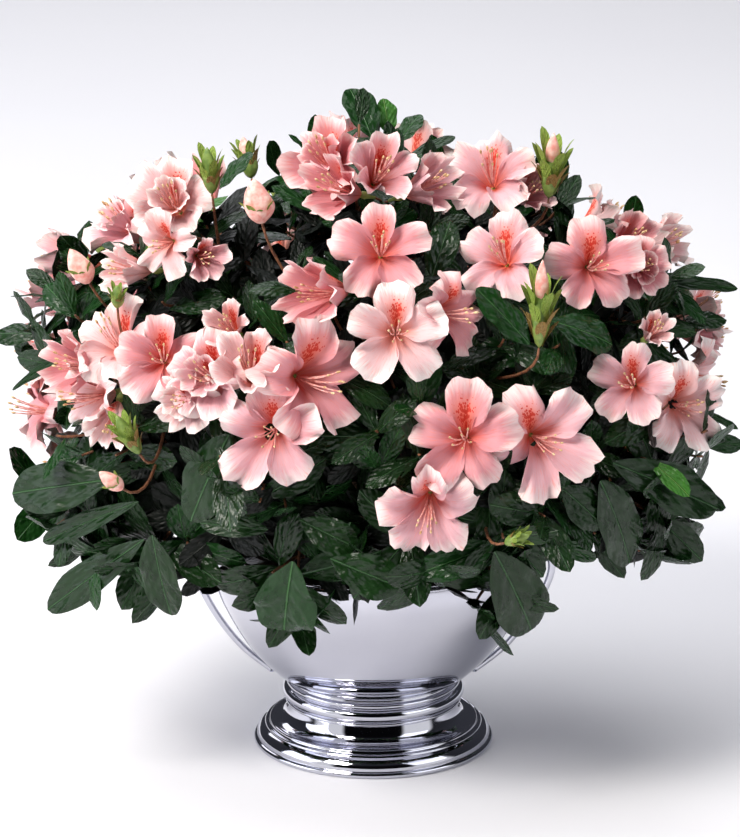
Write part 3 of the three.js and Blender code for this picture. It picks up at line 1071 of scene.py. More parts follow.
@dataclass
class Leaves:
    """Many leaves at once, as arrays with one entry for each leaf, in metres.

    Attributes:
        base: Foot of the stalk.
        turned: Matrix whose columns run along the leaf, across it and out of its upper face.
        length: Length with the stalk.
        breadth: Full breadth.
        bend: Angle that the midrib turns down through, in radians.
        fold: Angle that each half is folded up by.
        wave: Rise of the margin's waves, as a share of the breadth.
        tint: Cell number of its colour.
    """

    base: Array
    turned: Array
    length: Array
    breadth: Array
    bend: Array
    fold: Array
    wave: Array
    tint: Array

    def keep(self, which: Array) -> "Leaves":
        """The leaves that a mask or a list of numbers picks."""
        return Leaves(*(value[which] for value in vars(self).values()))

    def join(self, other: "Leaves") -> "Leaves":
        """These leaves and the others together."""
        pairs = zip(vars(self).values(), vars(other).values())
        return Leaves(*(np.concatenate(pair) for pair in pairs))

    def midrib(self, share: Array) -> Array:
        """Points on the midribs.

        The midrib is an arc: along it the leaf's direction turns down evenly through the bend.

        Args:
            share: Shares of the length, (n or 1, rows).

        Returns:
            Points (n, rows, 3).
        """
        turn = np.where(np.abs(self.bend) < 0.02, 0.02, self.bend)[:, None]
        reach = self.length[:, None]
        x = reach * np.sin(turn * share) / turn
        z = -reach * (1 - np.cos(turn * share)) / turn
        return placed(np.stack([x, x * 0, z], -1)[:, None], self.turned, self.base)[:, 0]

    def sheet(self, rows: int, cols: int, plump: float = 0.62) -> Sheet:
        """Grids of the blades.

        Half the breadth is the sine of a power of the place along, so the blade is widest past
        its middle and narrows into a stalk. Each half is folded up from the midrib, its margin
        curls down with the square of the place across, and waves run along it. Between the side
        veins the blade is quilted by a low sine wave that slants forward to the margin.

        Args:
            rows: Points along a blade.
            cols: Points across it.
            plump: Power of the sine; the smaller, the rounder the outline.

        Returns:
            The grids with their UVs.
        """
        even = np.linspace(0, 1, rows)
        share = 0.45 * even + 0.55 * (1 - np.cos(np.pi * even)) / 2
        w = np.linspace(-1, 1, cols)
        column = (slice(None), None, None)
        ripe = 1.28 + 0.16 * np.sin(self.wave * 900)[column]
        full = np.sin(np.pi * share[:, None] ** ripe) ** plump
        full = np.maximum(full, 0.055 * (1 - share[:, None] ** 8))
        half = self.breadth[column] / 2 * full
        turn = np.where(np.abs(self.bend) < 0.02, 0.02, self.bend)[column] * share[:, None]
        reach = self.length[column] * share[:, None] / np.maximum(np.abs(turn), 1e-6) * np.sign(turn)
        phase = self.wave[column] * 4000
        waves = np.sin(TAU * 2.2 * share[:, None] + phase + 1.6 * np.sign(w)) * self.wave[column]
        side = np.abs(w)
        lift = half * (side * np.sin(self.fold[column]) - 0.28 * w ** 2 + 2 * waves * w ** 2)
        quilt = np.sin(TAU * (4 * share[:, None] - 1.4 * side)) * np.sin(np.pi * side)
        lift = lift + half * 0.07 * quilt
        across = np.broadcast_to(half * w * np.cos(self.fold[column]), lift.shape)
        x = np.where(share[:, None] > 0, reach * np.sin(turn), 0) + lift * np.sin(turn)
        z = np.where(share[:, None] > 0, -reach * (1 - np.cos(turn)), 0) + lift * np.cos(turn)
        points = placed(np.stack([x, across, z], -1), self.turned, self.base)
        along = np.broadcast_to(share[:, None] * 2 - 1, full.shape)
        uv = CELL.uv(full * w, along, self.tint)
        return Sheet(points, uv, self.tint)


def whorls(tips: Array, along: Array, count: int, length: Array, tint: Array, open_range: tuple,
           random: np.random.Generator) -> Leaves:
    """Sprays of leaves: each spray's leaves stand round its shoot, a golden angle apart.

    A leaf's age runs from 0 at the shoot's end to 1 at its foot. The older a leaf is, the further
    down the shoot it stands, the wider it stands off and the larger it is.

    Args:
        tips: Ends of the shoots (n, 3).
        along: Directions of the shoots (n, 3).
        count: Leaves in a spray.
        length: Length of the largest leaf of each spray.
        tint: Tint number of each spray.
        open_range: Angles in degrees between shoot and leaf, for the youngest and the oldest.
        random: Seeded generator.

    Returns:
        The leaves.
    """
    n = len(tips)
    age = np.linspace(0, 1, count)[None, :] + random.uniform(-0.08, 0.08, (n, count))
    turn = random.uniform(0, TAU, (n, 1)) + np.arange(count) * GOLDEN + random.normal(0, 0.2, (n, count))
    spread = np.radians(open_range[0] + (open_range[1] - open_range[0]) * age)
    shoot = axes(np.where(np.abs(along[:, 2:]) > 0.9, [[0, 1.0, 0]], [[0, 0, 1.0]]), along)
    radial = np.cos(turn)[..., None] * shoot[:, None, :, 1] + np.sin(turn)[..., None] * unit(
        np.cross(shoot[:, None, :, 1], along[:, None]))
    forward = np.cos(spread)[..., None] * along[:, None] + np.sin(spread)[..., None] * radial
    up = np.sin(spread)[..., None] * along[:, None] - np.cos(spread)[..., None] * radial
    up = up + random.normal(0, 0.22, up.shape)
    base = tips[:, None] - along[:, None] * (age * 14 * MM)[..., None]
    size = length[:, None] * (0.62 + 0.38 * np.clip(age, 0, 1)) * random.uniform(0.88, 1.1, (n, count))
    flat = (n * count,)
    return Leaves(
        base.reshape(-1, 3),
        axes(forward.reshape(-1, 3), up.reshape(-1, 3)),
        size.ravel(),
        size.ravel() * random.uniform(0.4, 0.5, flat),
        random.uniform(0.1, 0.9, flat),
        random.uniform(0.1, 0.45, flat),
        random.uniform(0.01, 0.07, flat),
        np.repeat(tint, count),
    )


def bud_girth(t: Array) -> Array:
    """Girth of a bud at shares of its length: a sine of a power, widest below the middle."""
    return np.sin(np.pi * t ** 0.8) ** 0.8


def bud_scales(bud: Bud, base: Array, turned: Array) -> Leaves:
    """Scales that hug a bud in a golden spiral, few and low round one that is opening.

    Args:
        bud: The bud.
        base: Its foot (3,).
        turned: Its matrix, whose first column runs along it (3, 3).

    Returns:
        The scales.
    """
    length, breadth = bud.length * MM, bud.breadth * MM
    loose = bud.kind is Closed.PINK
    count = 8 if loose else 15
    place = np.linspace(0, 0.22 if loose else 0.55, count)
    turn = np.arange(count) * GOLDEN
    ring = bud_girth(np.maximum(place, 0.04)) * breadth / 2 * 0.86
    radial = np.cos(turn)[:, None] * turned[:, 1] + np.sin(turn)[:, None] * turned[:, 2]
    foot = base + turned[:, 0] * (place * length)[:, None] + radial * ring[:, None]
    forward = turned[:, 0] + radial * (0.2 - 0.26 * place)[:, None]
    size = np.full(count, np.clip(length * 0.5, 10 * MM, 24 * MM))
    tint = np.where(place < 0.2, 1, 0) * (0 if loose else 1)
    return Leaves(foot, axes(forward, radial), size, size * 0.36, np.full(count, -0.6),
                  np.full(count, 0.2), np.full(count, 0.02), tint)


@dataclass
class Palette:
    """The plant's finishes. A list holds one for each cell or part of a piece, in slot order."""

    def __post_init__(self) -> None:
        """Makes the materials."""
        self.leaf = [
            LeafBlade("azalea_leaf_dark").make(),
            LeafBlade("azalea_leaf_mid", "#0c2a0c", "#184016", "#3f6a3a").make(),
            LeafBlade("azalea_leaf_young", "#2f6420", "#41782a", "#6f944a", 0.34).make(),
            # Nearly black inner leaves: painted shade.
            LeafBlade("azalea_leaf_shade", "#040a05", "#071007", "#0d1c0d", 0.45).make(),
        ]
        self.petals = [
            Petal("azalea_petal_pale", "#ee9a84", "#e8c2c3", "#f6eae6").make(),
            Petal("azalea_petal_mid").make(),
            # A darker copy of the petal that stands in for shaded flowers: painted shade.
            Petal("azalea_petal_deep", "#e2705e", "#da969c", "#edcfcd").make(),
        ]
        self.parts = [
            Tissue("stamen_filament").make(),
            Tissue("stamen_anther", "#b98a58", "#ead2a4").make(),
            Tissue("flower_calyx", "#6f8a3c", "#9aa95a").make(),
        ]
        self.scales = [
            LeafBlade("bud_scale_green", "#7d9a3c", "#93a94a", "#b3bd6c", 0.45).make(),
            LeafBlade("bud_scale_brown", "#8a6a38", "#9c8248", "#b79f68", 0.5).make(),
        ]
        self.buds = [
            Tissue("bud_petal", "#ee9a8e", "#fbd0c4").make(),
            Tissue("bud_green", "#5f7a34", "#84984a").make(),
        ]
        self.old_bark = Bark("azalea_bark_old").make()
        self.young_bark = Bark("azalea_bark_young", "#5a3524", "#93603f", 1.5, 0.65).make()


@dataclass
class Shrub:
    """The azalea: limbs, side limbs, twigs, sprays of leaves, flowers and buds.

    A bough ends near a mass of foliage. From its end a side limb runs to the middle of each mass
    close by, twigs fork off that side limb, and each twig ends in a spray, a flower or a bud.

    Attributes:
        dome: The ellipsoid that the crown fills.
        random: Seeded generator.
        look: Finishes.
        spacing: Distance between two sprays.
        shoot: How far behind its spot a spray stands.
        leaf: Length of a spray's largest leaf high in the crown.
        low_leaf: Its length at the rim.
        spread: Angles in degrees between shoot and leaf, for an outer spray's youngest and oldest.
        inner_spread: The same for an inner spray.
        inner_depth: Least and greatest place of an inner spray, as a share of the way to its spot.
        lean: How far a big leaf may run in depth, as a share of its seen length.
        twig: Radius of a twig at its end.
    """

    dome: Dome
    random: np.random.Generator
    look: Palette
    spacing: float = 36 * MM
    shoot: float = 30 * MM
    leaf: float = 50 * MM
    low_leaf: float = 66 * MM
    spread: tuple[float, float] = (22, 88)
    inner_spread: tuple[float, float] = (35, 95)
    inner_depth: tuple[float, float] = (0.66, 0.8)
    lean: float = 0.45
    twig: float = 0.9 * MM

    def __post_init__(self) -> None:
        """Finds the fork, the bough ends, and the middles and surfaces of the masses in the frame."""
        low, high = corners("stem")
        self.fork = np.array([*(low + high)[:2] / 2, high[2]])
        boxes = [corners(name) for name in BOUGHS]
        self.boughs = np.array([np.where(np.abs(high - self.fork) > np.abs(low - self.fork), high, low)
                                for low, high in boxes])
        self.cores = np.array([np.mean(corners(name), 0) for name in FOLIAGE])
        parts = []
        for name, core in zip(FOLIAGE, self.cores):
            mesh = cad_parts[name].data
            points, faces = (np.empty(len(mesh.vertices) * 3, np.float32) for _ in range(2))
            mesh.vertices.foreach_get("co", points)
            mesh.vertices.foreach_get("normal", faces)
            points = points.reshape(-1, 3).astype(float)
            parts.append([points, faces.reshape(-1, 3).astype(float), unit(points - core)])
        self.surface = [np.concatenate(group) for group in zip(*parts)]

    # -------------------------------------------------------------- places
    def spots(self) -> tuple[Array, Array]:
        """Evenly spaced places on the outer side of the masses.

        Starting from the highest vertex, the vertex farthest from those chosen is taken until none
        is farther than the spacing.

        Returns:
            The places and the directions that point out of the crown there.
        """
        points, _, away = self.surface
        out = self.dome.outward(points)
        share = np.linalg.norm((points - self.dome.centre) / self.dome.reach, axis=1)
        outer = (share > 0.74) & (np.sum(away * out, 1) > 0.1)
        points, out, away = points[outer], out[outer], away[outer]
        chosen = [int(np.argmax(points[:, 2]))]
        gap = np.linalg.norm(points - points[chosen[0]], axis=1)
        while gap.max() > self.spacing:
            chosen.append(int(np.argmax(gap)))
            gap = np.minimum(gap, np.linalg.norm(points - points[chosen[-1]], axis=1))
        return points[chosen], unit(0.6 * out[chosen] + 0.5 * away[chosen])

    def back_blooms(self) -> list[Bloom]:
        """Trusses of two to four flowers round the back, each flower leaning away from its truss."""
        blooms = []
        for turn, rise in BACK_TRUSSES:
            start = self.random.uniform(0, TAU)
            count = int(self.random.integers(2, 5))
            for number in range(count):
                lean = start + number * TAU / count
                side, high = np.cos(lean), np.sin(lean)
                form = list(Form)[int(self.random.integers(0, 3))]
                across = side * 9 / np.cos(np.radians(rise))
                place = Round(turn + across, rise + high * 9, 0.93 + 0.02 * number)
                pitch = np.clip(rise * 0.6 + high * 25, -20, 80)
                roll, radius = self.random.uniform(-25, 25), self.random.uniform(28, 35)
                blooms.append(Bloom(place, turn + side * 30, pitch, roll, radius, form))
        return blooms

    # -------------------------------------------------------------- wood
    def limbs(self) -> None:
        """Stem and boughs: tapering tubes whose radius swells and sinks in ridges of bark.

        The stem flares at its foot by an exponential and swells again below the fork.
        """
        low, high = corners("stem")
        foot = np.array([*(low + high)[:2] / 2 * 0.4, low[2] - 4 * MM])
        radius = (high - low)[0] / 2
        steps = 40
        t = np.linspace(0, 1, steps)
        path = foot * (1 - t[:, None]) + (self.fork - [0, 0, 8 * MM]) * t[:, None]
        flare = radius * (0.58 + 0.42 * np.exp(-t * 5) + 0.16 * smooth(0.6, 0.95, t))
        flare[-4:] *= [0.97, 0.9, 0.72, 0.4]
        stem = self.ridged(tubes(path[None], flare[None], 40), path[None], 1.3 * MM)
        start = self.fork + unit(self.boughs - self.fork) * 2 * MM - [0, 0, 10 * MM]
        span = np.linalg.norm(self.boughs - start, axis=1)
        path = arched(start, self.boughs, np.array([[0, 0, 1.0]]) * span[:, None] * 0.07, 32)
        thick = np.linspace(6.2, 2.8, 32)[None] * MM * np.ones((len(path), 1))
        boughs = self.ridged(tubes(path, thick, 20), path, 0.5 * MM)
        sheets = [Sheet(stem, wrap=True), Sheet(boughs, wrap=True)]
        build("stem_and_boughs", sheets, [self.look.old_bark], ["stem", *BOUGHS], weld=True)

    def ridged(self, grid: Array, path: Array, depth: float) -> Array:
        """Pushes a tube's surface in and out by waves round it that wander along it.

        Args:
            grid: Tubes (n, steps + 2, sides, 3).
            path: Their middle lines (n, steps, 3).
            depth: Greatest push.

        Returns:
            The tubes.
        """
        n, rows, cols, _ = grid.shape
        line = np.concatenate([path[:, :1], path, path[:, -1:]], 1)[:, :, None]
        a = np.arange(cols)[None, None, :] / cols * TAU
        run = np.arange(rows)[None, :, None]
        phase = self.random.uniform(0, TAU, (n, 1, 1))
        wave = np.sin(5 * a + 0.3 * run + phase) + 0.6 * np.sin(9 * a - 0.47 * run)
        wave = wave + 0.5 * np.sin(0.9 * run)
        reach = np.linalg.norm(grid - line, axis=-1, keepdims=True)
        return grid + unit(grid - line) * np.minimum(depth, reach * 0.3) * wave[..., None] / 2

    def twigs(self, tips: Array, shoot: Array) -> None:
        """Side limbs to the masses, and a twig from the nearest side limb to each tip.

        A twig is a quadratic curve whose middle point lies behind its tip, so that it ends in the
        direction of its shoot.

        Args:
            tips: Ends of the twigs (n, 3).
            shoot: Directions in which they end (n, 3).
        """
        up = np.array([[0, 0, 1.0]])
        near = np.argmin(np.linalg.norm(self.cores[:, None] - self.boughs[None], axis=-1), 1)
        hub = self.dome.centre + (self.cores - self.dome.centre) * 0.86
        side = arched(self.boughs[near], hub, up * 10 * MM, 12)
        side_radius = np.linspace(2.6 * MM, 1.5 * MM, 12)[None] * np.ones((len(side), 1))
        mine = np.argmin(np.linalg.norm(tips[:, None] - hub[None], axis=-1), 1)
        place = self.random.integers(6, 12, len(tips))
        start = side[mine, place]
        t = np.linspace(0, 1, 9)[None, :, None]
        reach = np.linalg.norm(tips - start, axis=1)[:, None]
        middle = tips - shoot * reach * 0.3
        path = start[:, None] * (1 - t) ** 2 + 2 * t * (1 - t) * middle[:, None]
        path = path + tips[:, None] * t ** 2
        radius = np.linspace(1, 0, 9)[None] * 0.5 * MM + np.full((len(tips), 1), self.twig)
        limbs = Sheet(tubes(side, side_radius, 8), wrap=True)
        twigs = Sheet(tubes(path, radius, 5), wrap=True)
        build("twigs", [limbs, twigs], [self.look.young_bark], weld=True)

    # -------------------------------------------------------------- flowers
    def bloom_arrays(self, blooms: list[Bloom]) -> tuple[Array, Array, Array]:
        """Flowers as arrays.

        Args:
            blooms: The flowers.

        Returns:
            Their middles (n, 3), matrices (n, 3, 3) whose columns run forward, across and up, and
            radii (n,).
        """
        rows = np.array([[b.yaw, b.pitch, b.roll, b.radius] for b in blooms])
        centre = np.array([b.place.on(self.dome) for b in blooms])
        facing = aim(rows[:, 0], rows[:, 1])
        upright = axes(facing, np.array([[0, 0, 1.0]]) * np.ones((len(rows), 1)))
        roll = np.radians(rows[:, 2])[:, None]
        top = upright[..., 2] * np.cos(roll) + upright[..., 1] * np.sin(roll)
        return centre, axes(facing, top), rows[:, 3] * MM

    def lobes(self, turned: Array, centre: Array, radius: Array, lift: Array, tint: Array,
              full: Array, turn: float = 0.0) -> Sheet:
        """Corollas of five overlapping lobes on a funnel.

        Across a lobe the angle runs evenly, a little past its neighbours. Along it the radius grows
        evenly to a rounded, notched end. The height is a funnel that falls away towards the
        middle, less a curl at the tip, plus ruffles that grow with the square of the radius.

        Args:
            turned: Matrices of the flowers (n, 3, 3).
            centre: Middles of their mouths (n, 3).
            radius: Radii (n,).
            lift: How far the lobes stand forward, as a share of the radius (n,).
            tint: Cell numbers (n,).
            full: True where the lobes are broad and crowded (n,).
            turn: Angle that the ring of lobes is turned by, in lobes.

        Returns:
            The grids, five for each flower.
        """
        n = len(radius)
        rows, cols = 12, 13
        v = np.linspace(0, 1, rows)[None, None, :, None]
        w = np.linspace(-1, 1, cols)[None, None, None, :]

        def chance(low: float, high: float) -> Array:
            """A random value for each lobe."""
            return self.random.uniform(low, high, (n, 5, 1, 1))

        lobe = (np.arange(5)[None, :, None, None] + turn) * TAU / 5
        crowd = full[:, None, None, None] * 1.0
        half = 36 + (5 + 6 * crowd + chance(-3, 4)) * smooth(0.25, 0.5, v)
        half = np.radians(half - (9 - 5 * crowd) * smooth(0.6, 1.0, v))
        angle = lobe + w * half + chance(-0.1, 0.1) * smooth(0.3, 0.8, v)
        end = (1 - 0.1 * w ** 2 - 0.24 * w ** 4) * (1 - 0.04 * np.exp(-(w / 0.16) ** 2))
        out = v * end * chance(0.88, 1.06)
        out = out * (1 + 0.022 * v ** 2 * np.sin(TAU * (1.7 * w + chance(0, 1))))
        cup = lift[:, None, None, None]
        height = -0.78 * np.exp(-(v / 0.4) ** 1.6) + cup * 0.75 * smooth(0.1, 1.1, v)
        height = height - (0.2 + chance(-0.26, 0.18)) * (1 - 1.3 * cup) * v ** 3
        ruffle = np.sin(TAU * (0.9 * w + chance(0, 1))) * chance(0.09, 0.17)
        ruffle = ruffle + np.sin(TAU * (1.9 * w + chance(0, 1))) * chance(0.04, 0.08)
        height = height + ruffle * v ** 2.2 + 0.06 * w * smooth(0.2, 0.7, v)
        height = height - 0.05 * smooth(0.1, 0.5, v) * np.exp(-(w / 0.16) ** 2)
        height = height + chance(-0.22, 0.16) * v ** 2 * w ** 2
        reach = out * (1 - 0.42 * cup * v)
        local = np.stack(np.broadcast_arrays(height, reach * np.sin(angle), reach * np.cos(angle)), -1)
        local = local.reshape(n * 5, rows, cols, 3) * np.repeat(radius, 5)[:, None, None, None]
        each = np.repeat(tint, 5)
        u, up = (np.broadcast_to(x, (n, 5, rows, cols)).reshape(n * 5, rows, cols)
                 for x in (v * np.sin(angle), v * np.cos(angle)))
        points = placed(local, np.repeat(turned, 5, 0), np.repeat(centre, 5, 0))
        return Sheet(points, CELL.uv(u, up, each), each)

    def flowers(self, name: str, blooms: list[Bloom]) -> None:
        """Corollas with their stamens, pistils, calyxes and stalks.

        A ruffled flower has a second, smaller ring of lobes that stands further forward.

        Args:
            name: Ending of the pieces' names.
            blooms: The flowers.
        """
        centre, turned, radius = self.bloom_arrays(blooms)
        n = len(blooms)
        lift = np.array([b.form.value[0] for b in blooms])
        doubled = np.array([b.form.value[1] for b in blooms])
        # Each flower takes one of the three petal copies at random; the deep one is painted shade.
        tint = self.random.integers(0, 3, n)
        sheets = [self.lobes(turned, centre, radius, lift, tint, doubled)]
        forward = centre[doubled] + turned[doubled][..., 0] * 2 * MM
        sheets += [self.lobes(turned[doubled], forward, radius[doubled] * 0.62,
                              lift[doubled] + 0.4, tint[doubled], doubled[doubled], 0.5)]
        build("petals_" + name, sheets, self.look.petals, mapped=True)
        parts = self.stamens(centre, turned, radius)
        build("stamens_" + name, parts, self.look.parts)

    def stamens(self, centre: Array, turned: Array, radius: Array) -> list[Sheet]:
        """Six stamens and a longer pistil in each flower, and the green calyx behind it.

        A filament leaves the throat, spreads a little and curves up. An anther is a small spheroid.

        Args:
            centre: Middles of the flowers (n, 3).
            turned: Their matrices (n, 3, 3).
            radius: Their radii (n,).

        Returns:
            Filaments, anthers and calyxes.
        """
        n = len(radius)
        count, steps = 7, 7
        t = np.linspace(0, 1, steps)[None, None, :]
        turn = np.arange(count)[None, :, None] * TAU / 6 + self.random.normal(0, 0.2, (n, count, 1))
        long = self.random.uniform(0.5, 0.8, (n, count, 1))
        spread = np.full((1, count, 1), 0.17)
        long[:, -1], spread[:, -1] = 0.85, 0.03
        high = -0.7 + (0.7 + long * 0.62) * t
        away = spread * t + 0 * turn
        curve = 0.24 * long * t ** 2 - 0.1 * t
        local = np.stack([high, away * np.cos(turn), away * np.sin(turn) + curve], -1)
        local = local * radius[:, None, None, None]
        line = placed(local, turned, centre).reshape(n * count, steps, 3)
        thin = np.linspace(0.7, 0.4, steps)[None] * MM * np.ones((n * count, 1))
        filaments = Sheet(tubes(line, thin, 4), finish=0, wrap=True)
        last = line[:, -1:] - line[:, -2:-1]
        tips = line[:, -1:] + last * np.linspace(-0.3, 0.35, 5)[None, :, None]
        fat = np.array([[0.3, 0.85, 1.0, 0.85, 0.3]]) * 0.9 * MM * np.ones((n * count, 1))
        anthers = Sheet(tubes(tips, fat, 5), finish=1, wrap=True)
        stalk = np.linspace(-0.72, -1.25, 6)[None, :, None] * radius[:, None, None]
        stalk = centre[:, None] + turned[:, None, :, 0] * stalk
        cup = np.array([[1.0, 2.6, 2.8, 1.8, 1.2, 1.1]]) * MM * np.ones((n, 1))
        return [filaments, anthers, Sheet(tubes(stalk, cup, 8), finish=2, wrap=True)]

    # -------------------------------------------------------------- leaves
    def clear(self, leaves: Leaves, blooms: list[Bloom]) -> Leaves:
        """Drops the leaves that would cut through a flower or the bowl, or leave the CAD box.

        Four points of each midrib are looked at. A flower keeps a drum in front of its mouth free,
        and a narrow one behind it.

        Args:
            leaves: The leaves.
            blooms: The flowers.

        Returns:
            The leaves that are kept.
        """
        centre, turned, radius = self.bloom_arrays(blooms)
        points = leaves.midrib(np.array([[0.25, 0.5, 0.75, 1.0]]))
        off = points[:, :, None] - centre
        high = np.sum(off * turned[..., 0], -1)
        wide = np.linalg.norm(off - high[..., None] * turned[..., 0], axis=-1) / radius
        hit = (wide < 0.92) & (high > -4 * MM) & (high < 62 * MM)
        hit |= (wide < 0.5) & (high > -24 * MM) & (high < 0)
        rim = corners("bowl")[1]
        bowl = (np.hypot(points[..., 0], points[..., 1]) < rim[0] + 3 * MM)
        bowl &= points[..., 2] < rim[2] + 2 * MM
        low, high = np.array(CAD_BOX)
        slack = 0.02 * (high - low) + 5 * MM
        outside = np.any((points < low - slack) | (points > high + slack), -1)
        return leaves.keep(~(hit.any((1, 2)) | bowl.any(1) | outside.any(1)))

    def within(self, leaves: Leaves, slack: float) -> Leaves:
        """Keeps the leaves whose tips lie inside the masses.

        A tip is inside where it lies behind the face of the vertex that is nearest to it.

        Args:
            leaves: The leaves.
            slack: How far a tip may stand out.

        Returns:
            The leaves that are kept.
        """
        tips = leaves.midrib(np.array([[1.0]]))[:, 0]
        points, faces = self.surface[:2]
        nearest = np.concatenate([
            np.argmin(np.sum((part[:, None] - points[None]) ** 2, -1), 1)
            for part in np.array_split(tips, len(tips) // 200 + 1)])
        return leaves.keep(np.sum((tips - points[nearest]) * faces[nearest], 1) < slack)

    def big_leaves(self) -> Leaves:
        """The single leaves, each turned so that its upper face looks out of the crown."""
        out = np.array([b.out for b in BIG_LEAVES])
        seen = np.array([[b.base, b.tip] for b in BIG_LEAVES])
        base = self.dome.met(*seen[:, 0].T, out)
        tip = self.dome.met(*seen[:, 1].T, out + 0.05)
        reach = np.linalg.norm(seen[:, 1] - seen[:, 0], axis=1) * self.lean * MM
        tip[:, 1] = base[:, 1] + np.clip(tip[:, 1] - base[:, 1], -reach, reach)
        n = len(BIG_LEAVES)
        up = self.dome.outward(base) + [0, -0.35, 0.55]
        return Leaves(
            base, axes(tip - base, up), np.linalg.norm(tip - base, axis=1) * 1.04,
            np.array([b.breadth for b in BIG_LEAVES]) * MM, self.random.uniform(0.15, 0.5, n),
            self.random.uniform(0.25, 0.5, n), self.random.uniform(0.04, 0.09, n),
            np.array([b.tint.value for b in BIG_LEAVES]))

    def sprays(self) -> tuple[Leaves, Leaves, Array, Array]:
        """Outer sprays on the spots and inner ones behind them, whose leaves are painted nearly black as
        painted shade.

        The lower a spray is, the larger its leaves are and the more its shoot droops.

        Returns:
            Outer leaves, inner leaves, and the ends and directions of the outer shoots.
        """
        spots, out = self.spots()
        rim = 150 * MM
        low = np.clip(1 - (spots[:, 2] - rim) / (150 * MM), 0, 1)
        along = unit(out + np.array([0, 0, 1.0]) * (0.5 - 0.75 * low)[:, None])
        tips = spots - along * self.shoot
        length = self.leaf + (self.low_leaf - self.leaf) * low
        pick = self.random.uniform(0, 1, len(spots))
        tint = np.where(pick < 0.93, Tint.MID.value, Tint.YOUNG.value)
        tint = np.where(pick < 0.66, Tint.DARK.value, tint)
        tint = np.where((low > 0.4) & (tint == Tint.YOUNG.value), Tint.DARK.value, tint)
        outer = whorls(tips, along, 7, length, tint, self.spread, self.random)
        depth = self.random.uniform(*self.inner_depth, (len(spots), 1))
        deep = self.dome.centre + (spots - self.dome.centre) * depth
        # Inner leaves take the nearly black tint: painted shade.
        shade = np.full(len(spots), Tint.SHADE.value)
        inner = whorls(deep, out, 6, length, shade, self.inner_spread, self.random)
        return outer, inner, tips, along

    def flanks(self) -> tuple[Leaves, Array, Array]:
        """Sprays just over the rim on both sides, where the masses part behind the handles.

        Returns:
            The leaves, and the ends and directions of their shoots.
        """
        grids = np.meshgrid([-126, -114, -102, 102, 114, 126], [-26, -14, -2])
        turn, rise = (grid.ravel() for grid in grids)
        spots = self.dome.at(turn, rise, np.full(len(turn), 0.9))
        along = unit(self.dome.outward(spots) + [0, 0, 0.2])
        tips = spots - along * self.shoot
        length = np.full(len(tips), self.low_leaf)
        tint = np.full(len(tips), Tint.DARK.value)
        return whorls(tips, along, 7, length, tint, self.spread, self.random), tips, along

    # -------------------------------------------------------------- buds
    def buds(self) -> tuple[Array, Array]:
        """Buds: a pointed body twisted into furrows, with scales.

        A body that shows its petals at the tip only is made twice, green and short, and pink and
        slender above it.

        Returns:
            Bases and directions of the buds.
        """
        rows = np.array([[b.yaw, b.pitch, b.length * MM, b.breadth * MM] for b in BUDS])
        base = np.array([b.place.on(self.dome) for b in BUDS])
        along = aim(rows[:, 0], rows[:, 1])
        length, breadth = rows[:, 2], rows[:, 3]
        shown = np.array([b.kind.value for b in BUDS])
        turned = axes(along, np.array([[0.0, 1.0, 0.2]]) * np.ones((len(BUDS), 1)))
        t = np.linspace(0, 1, 16)[None, :, None]
        a = (np.arange(20) / 20 * TAU)[None, None, :]
        furrow = 1 + 0.09 * np.sin(3 * a + 5 * t) + 0.04 * np.sin(5 * a + 7 * t)
        tipped = shown == Closed.TIPPED.value
        # Which buds, where on their length the body starts and ends, its girth and its finish.
        bodies = [(~tipped, 0.0, 1.0, 1.0, np.where(shown[~tipped] > 0, 0, 1)),
                  (tipped, 0.0, 0.82, 0.9, 1),
                  (tipped, 0.45, 1.0, 0.66, 0)]
        sheets = []
        for which, start, end, girth, finish in bodies:
            radius = (breadth[which] / 2 * girth)[:, None, None] * (bud_girth(t) * furrow)
            high = length[which][:, None, None] * (start + (end - start) * t) + 0 * a
            body = np.stack([high, radius * np.cos(a), radius * np.sin(a)], -1)
            grid = placed(body, turned[which], base[which])
            sheets.append(Sheet(grid, finish=finish, wrap=True))
        build("buds", sheets, self.look.buds, weld=True)
        scales = bud_scales(BUDS[0], base[0], turned[0])
        for bud, foot, matrix in zip(BUDS[1:], base[1:], turned[1:]):
            scales = scales.join(bud_scales(bud, foot, matrix))
        build("bud_scales", [scales.sheet(7, 5)], self.look.scales, mapped=True)
        return base, along

    # -------------------------------------------------------------- the whole
    def grow(self) -> None:
        """Grows the leaves, the flowers, the buds and, last, the twigs that carry them."""
        back = self.back_blooms()
        blooms = FRONT_BLOOMS + back
        outer, inner, tips, along = self.sprays()
        outer = self.clear(self.within(outer, 1 * MM), blooms)
        big = self.clear(self.big_leaves(), blooms)
        log.info("big leaves kept: %d of %d", len(big.length), len(BIG_LEAVES))
        inner = self.clear(self.within(inner, 0.0), blooms)
        front = outer.base[:, 1] < 0
        half = len(FOLIAGE) // 2
        leaf = self.look.leaf
        sheets = [outer.keep(front).sheet(9, 5), big.sheet(19, 9, 0.52)]
        build("leaves_front", sheets, leaf, FOLIAGE[:half], mapped=True)
        sheets = [outer.keep(~front).sheet(9, 5)]
        build("leaves_back", sheets, leaf, FOLIAGE[half:], mapped=True)
        # The nearly black inner leaves: painted shade.
        build("leaves_inner", [inner.sheet(7, 5)], leaf, mapped=True)
        self.flowers("front", FRONT_BLOOMS)
        self.flowers("back", back)
        bud_base, bud_along = self.buds()
        side, side_tips, side_along = self.flanks()
        sheets = [self.clear(side, blooms).sheet(9, 5)]
        build("leaves_sides", sheets, leaf, mapped=True)
        centre, turned, radius = self.bloom_arrays(blooms)
        calyx = centre - turned[..., 0] * radius[:, None] * 1.25
        ends = np.concatenate([tips, side_tips, calyx, bud_base])
        self.twigs(ends, np.concatenate([along, side_along, turned[..., 0], bud_along]))


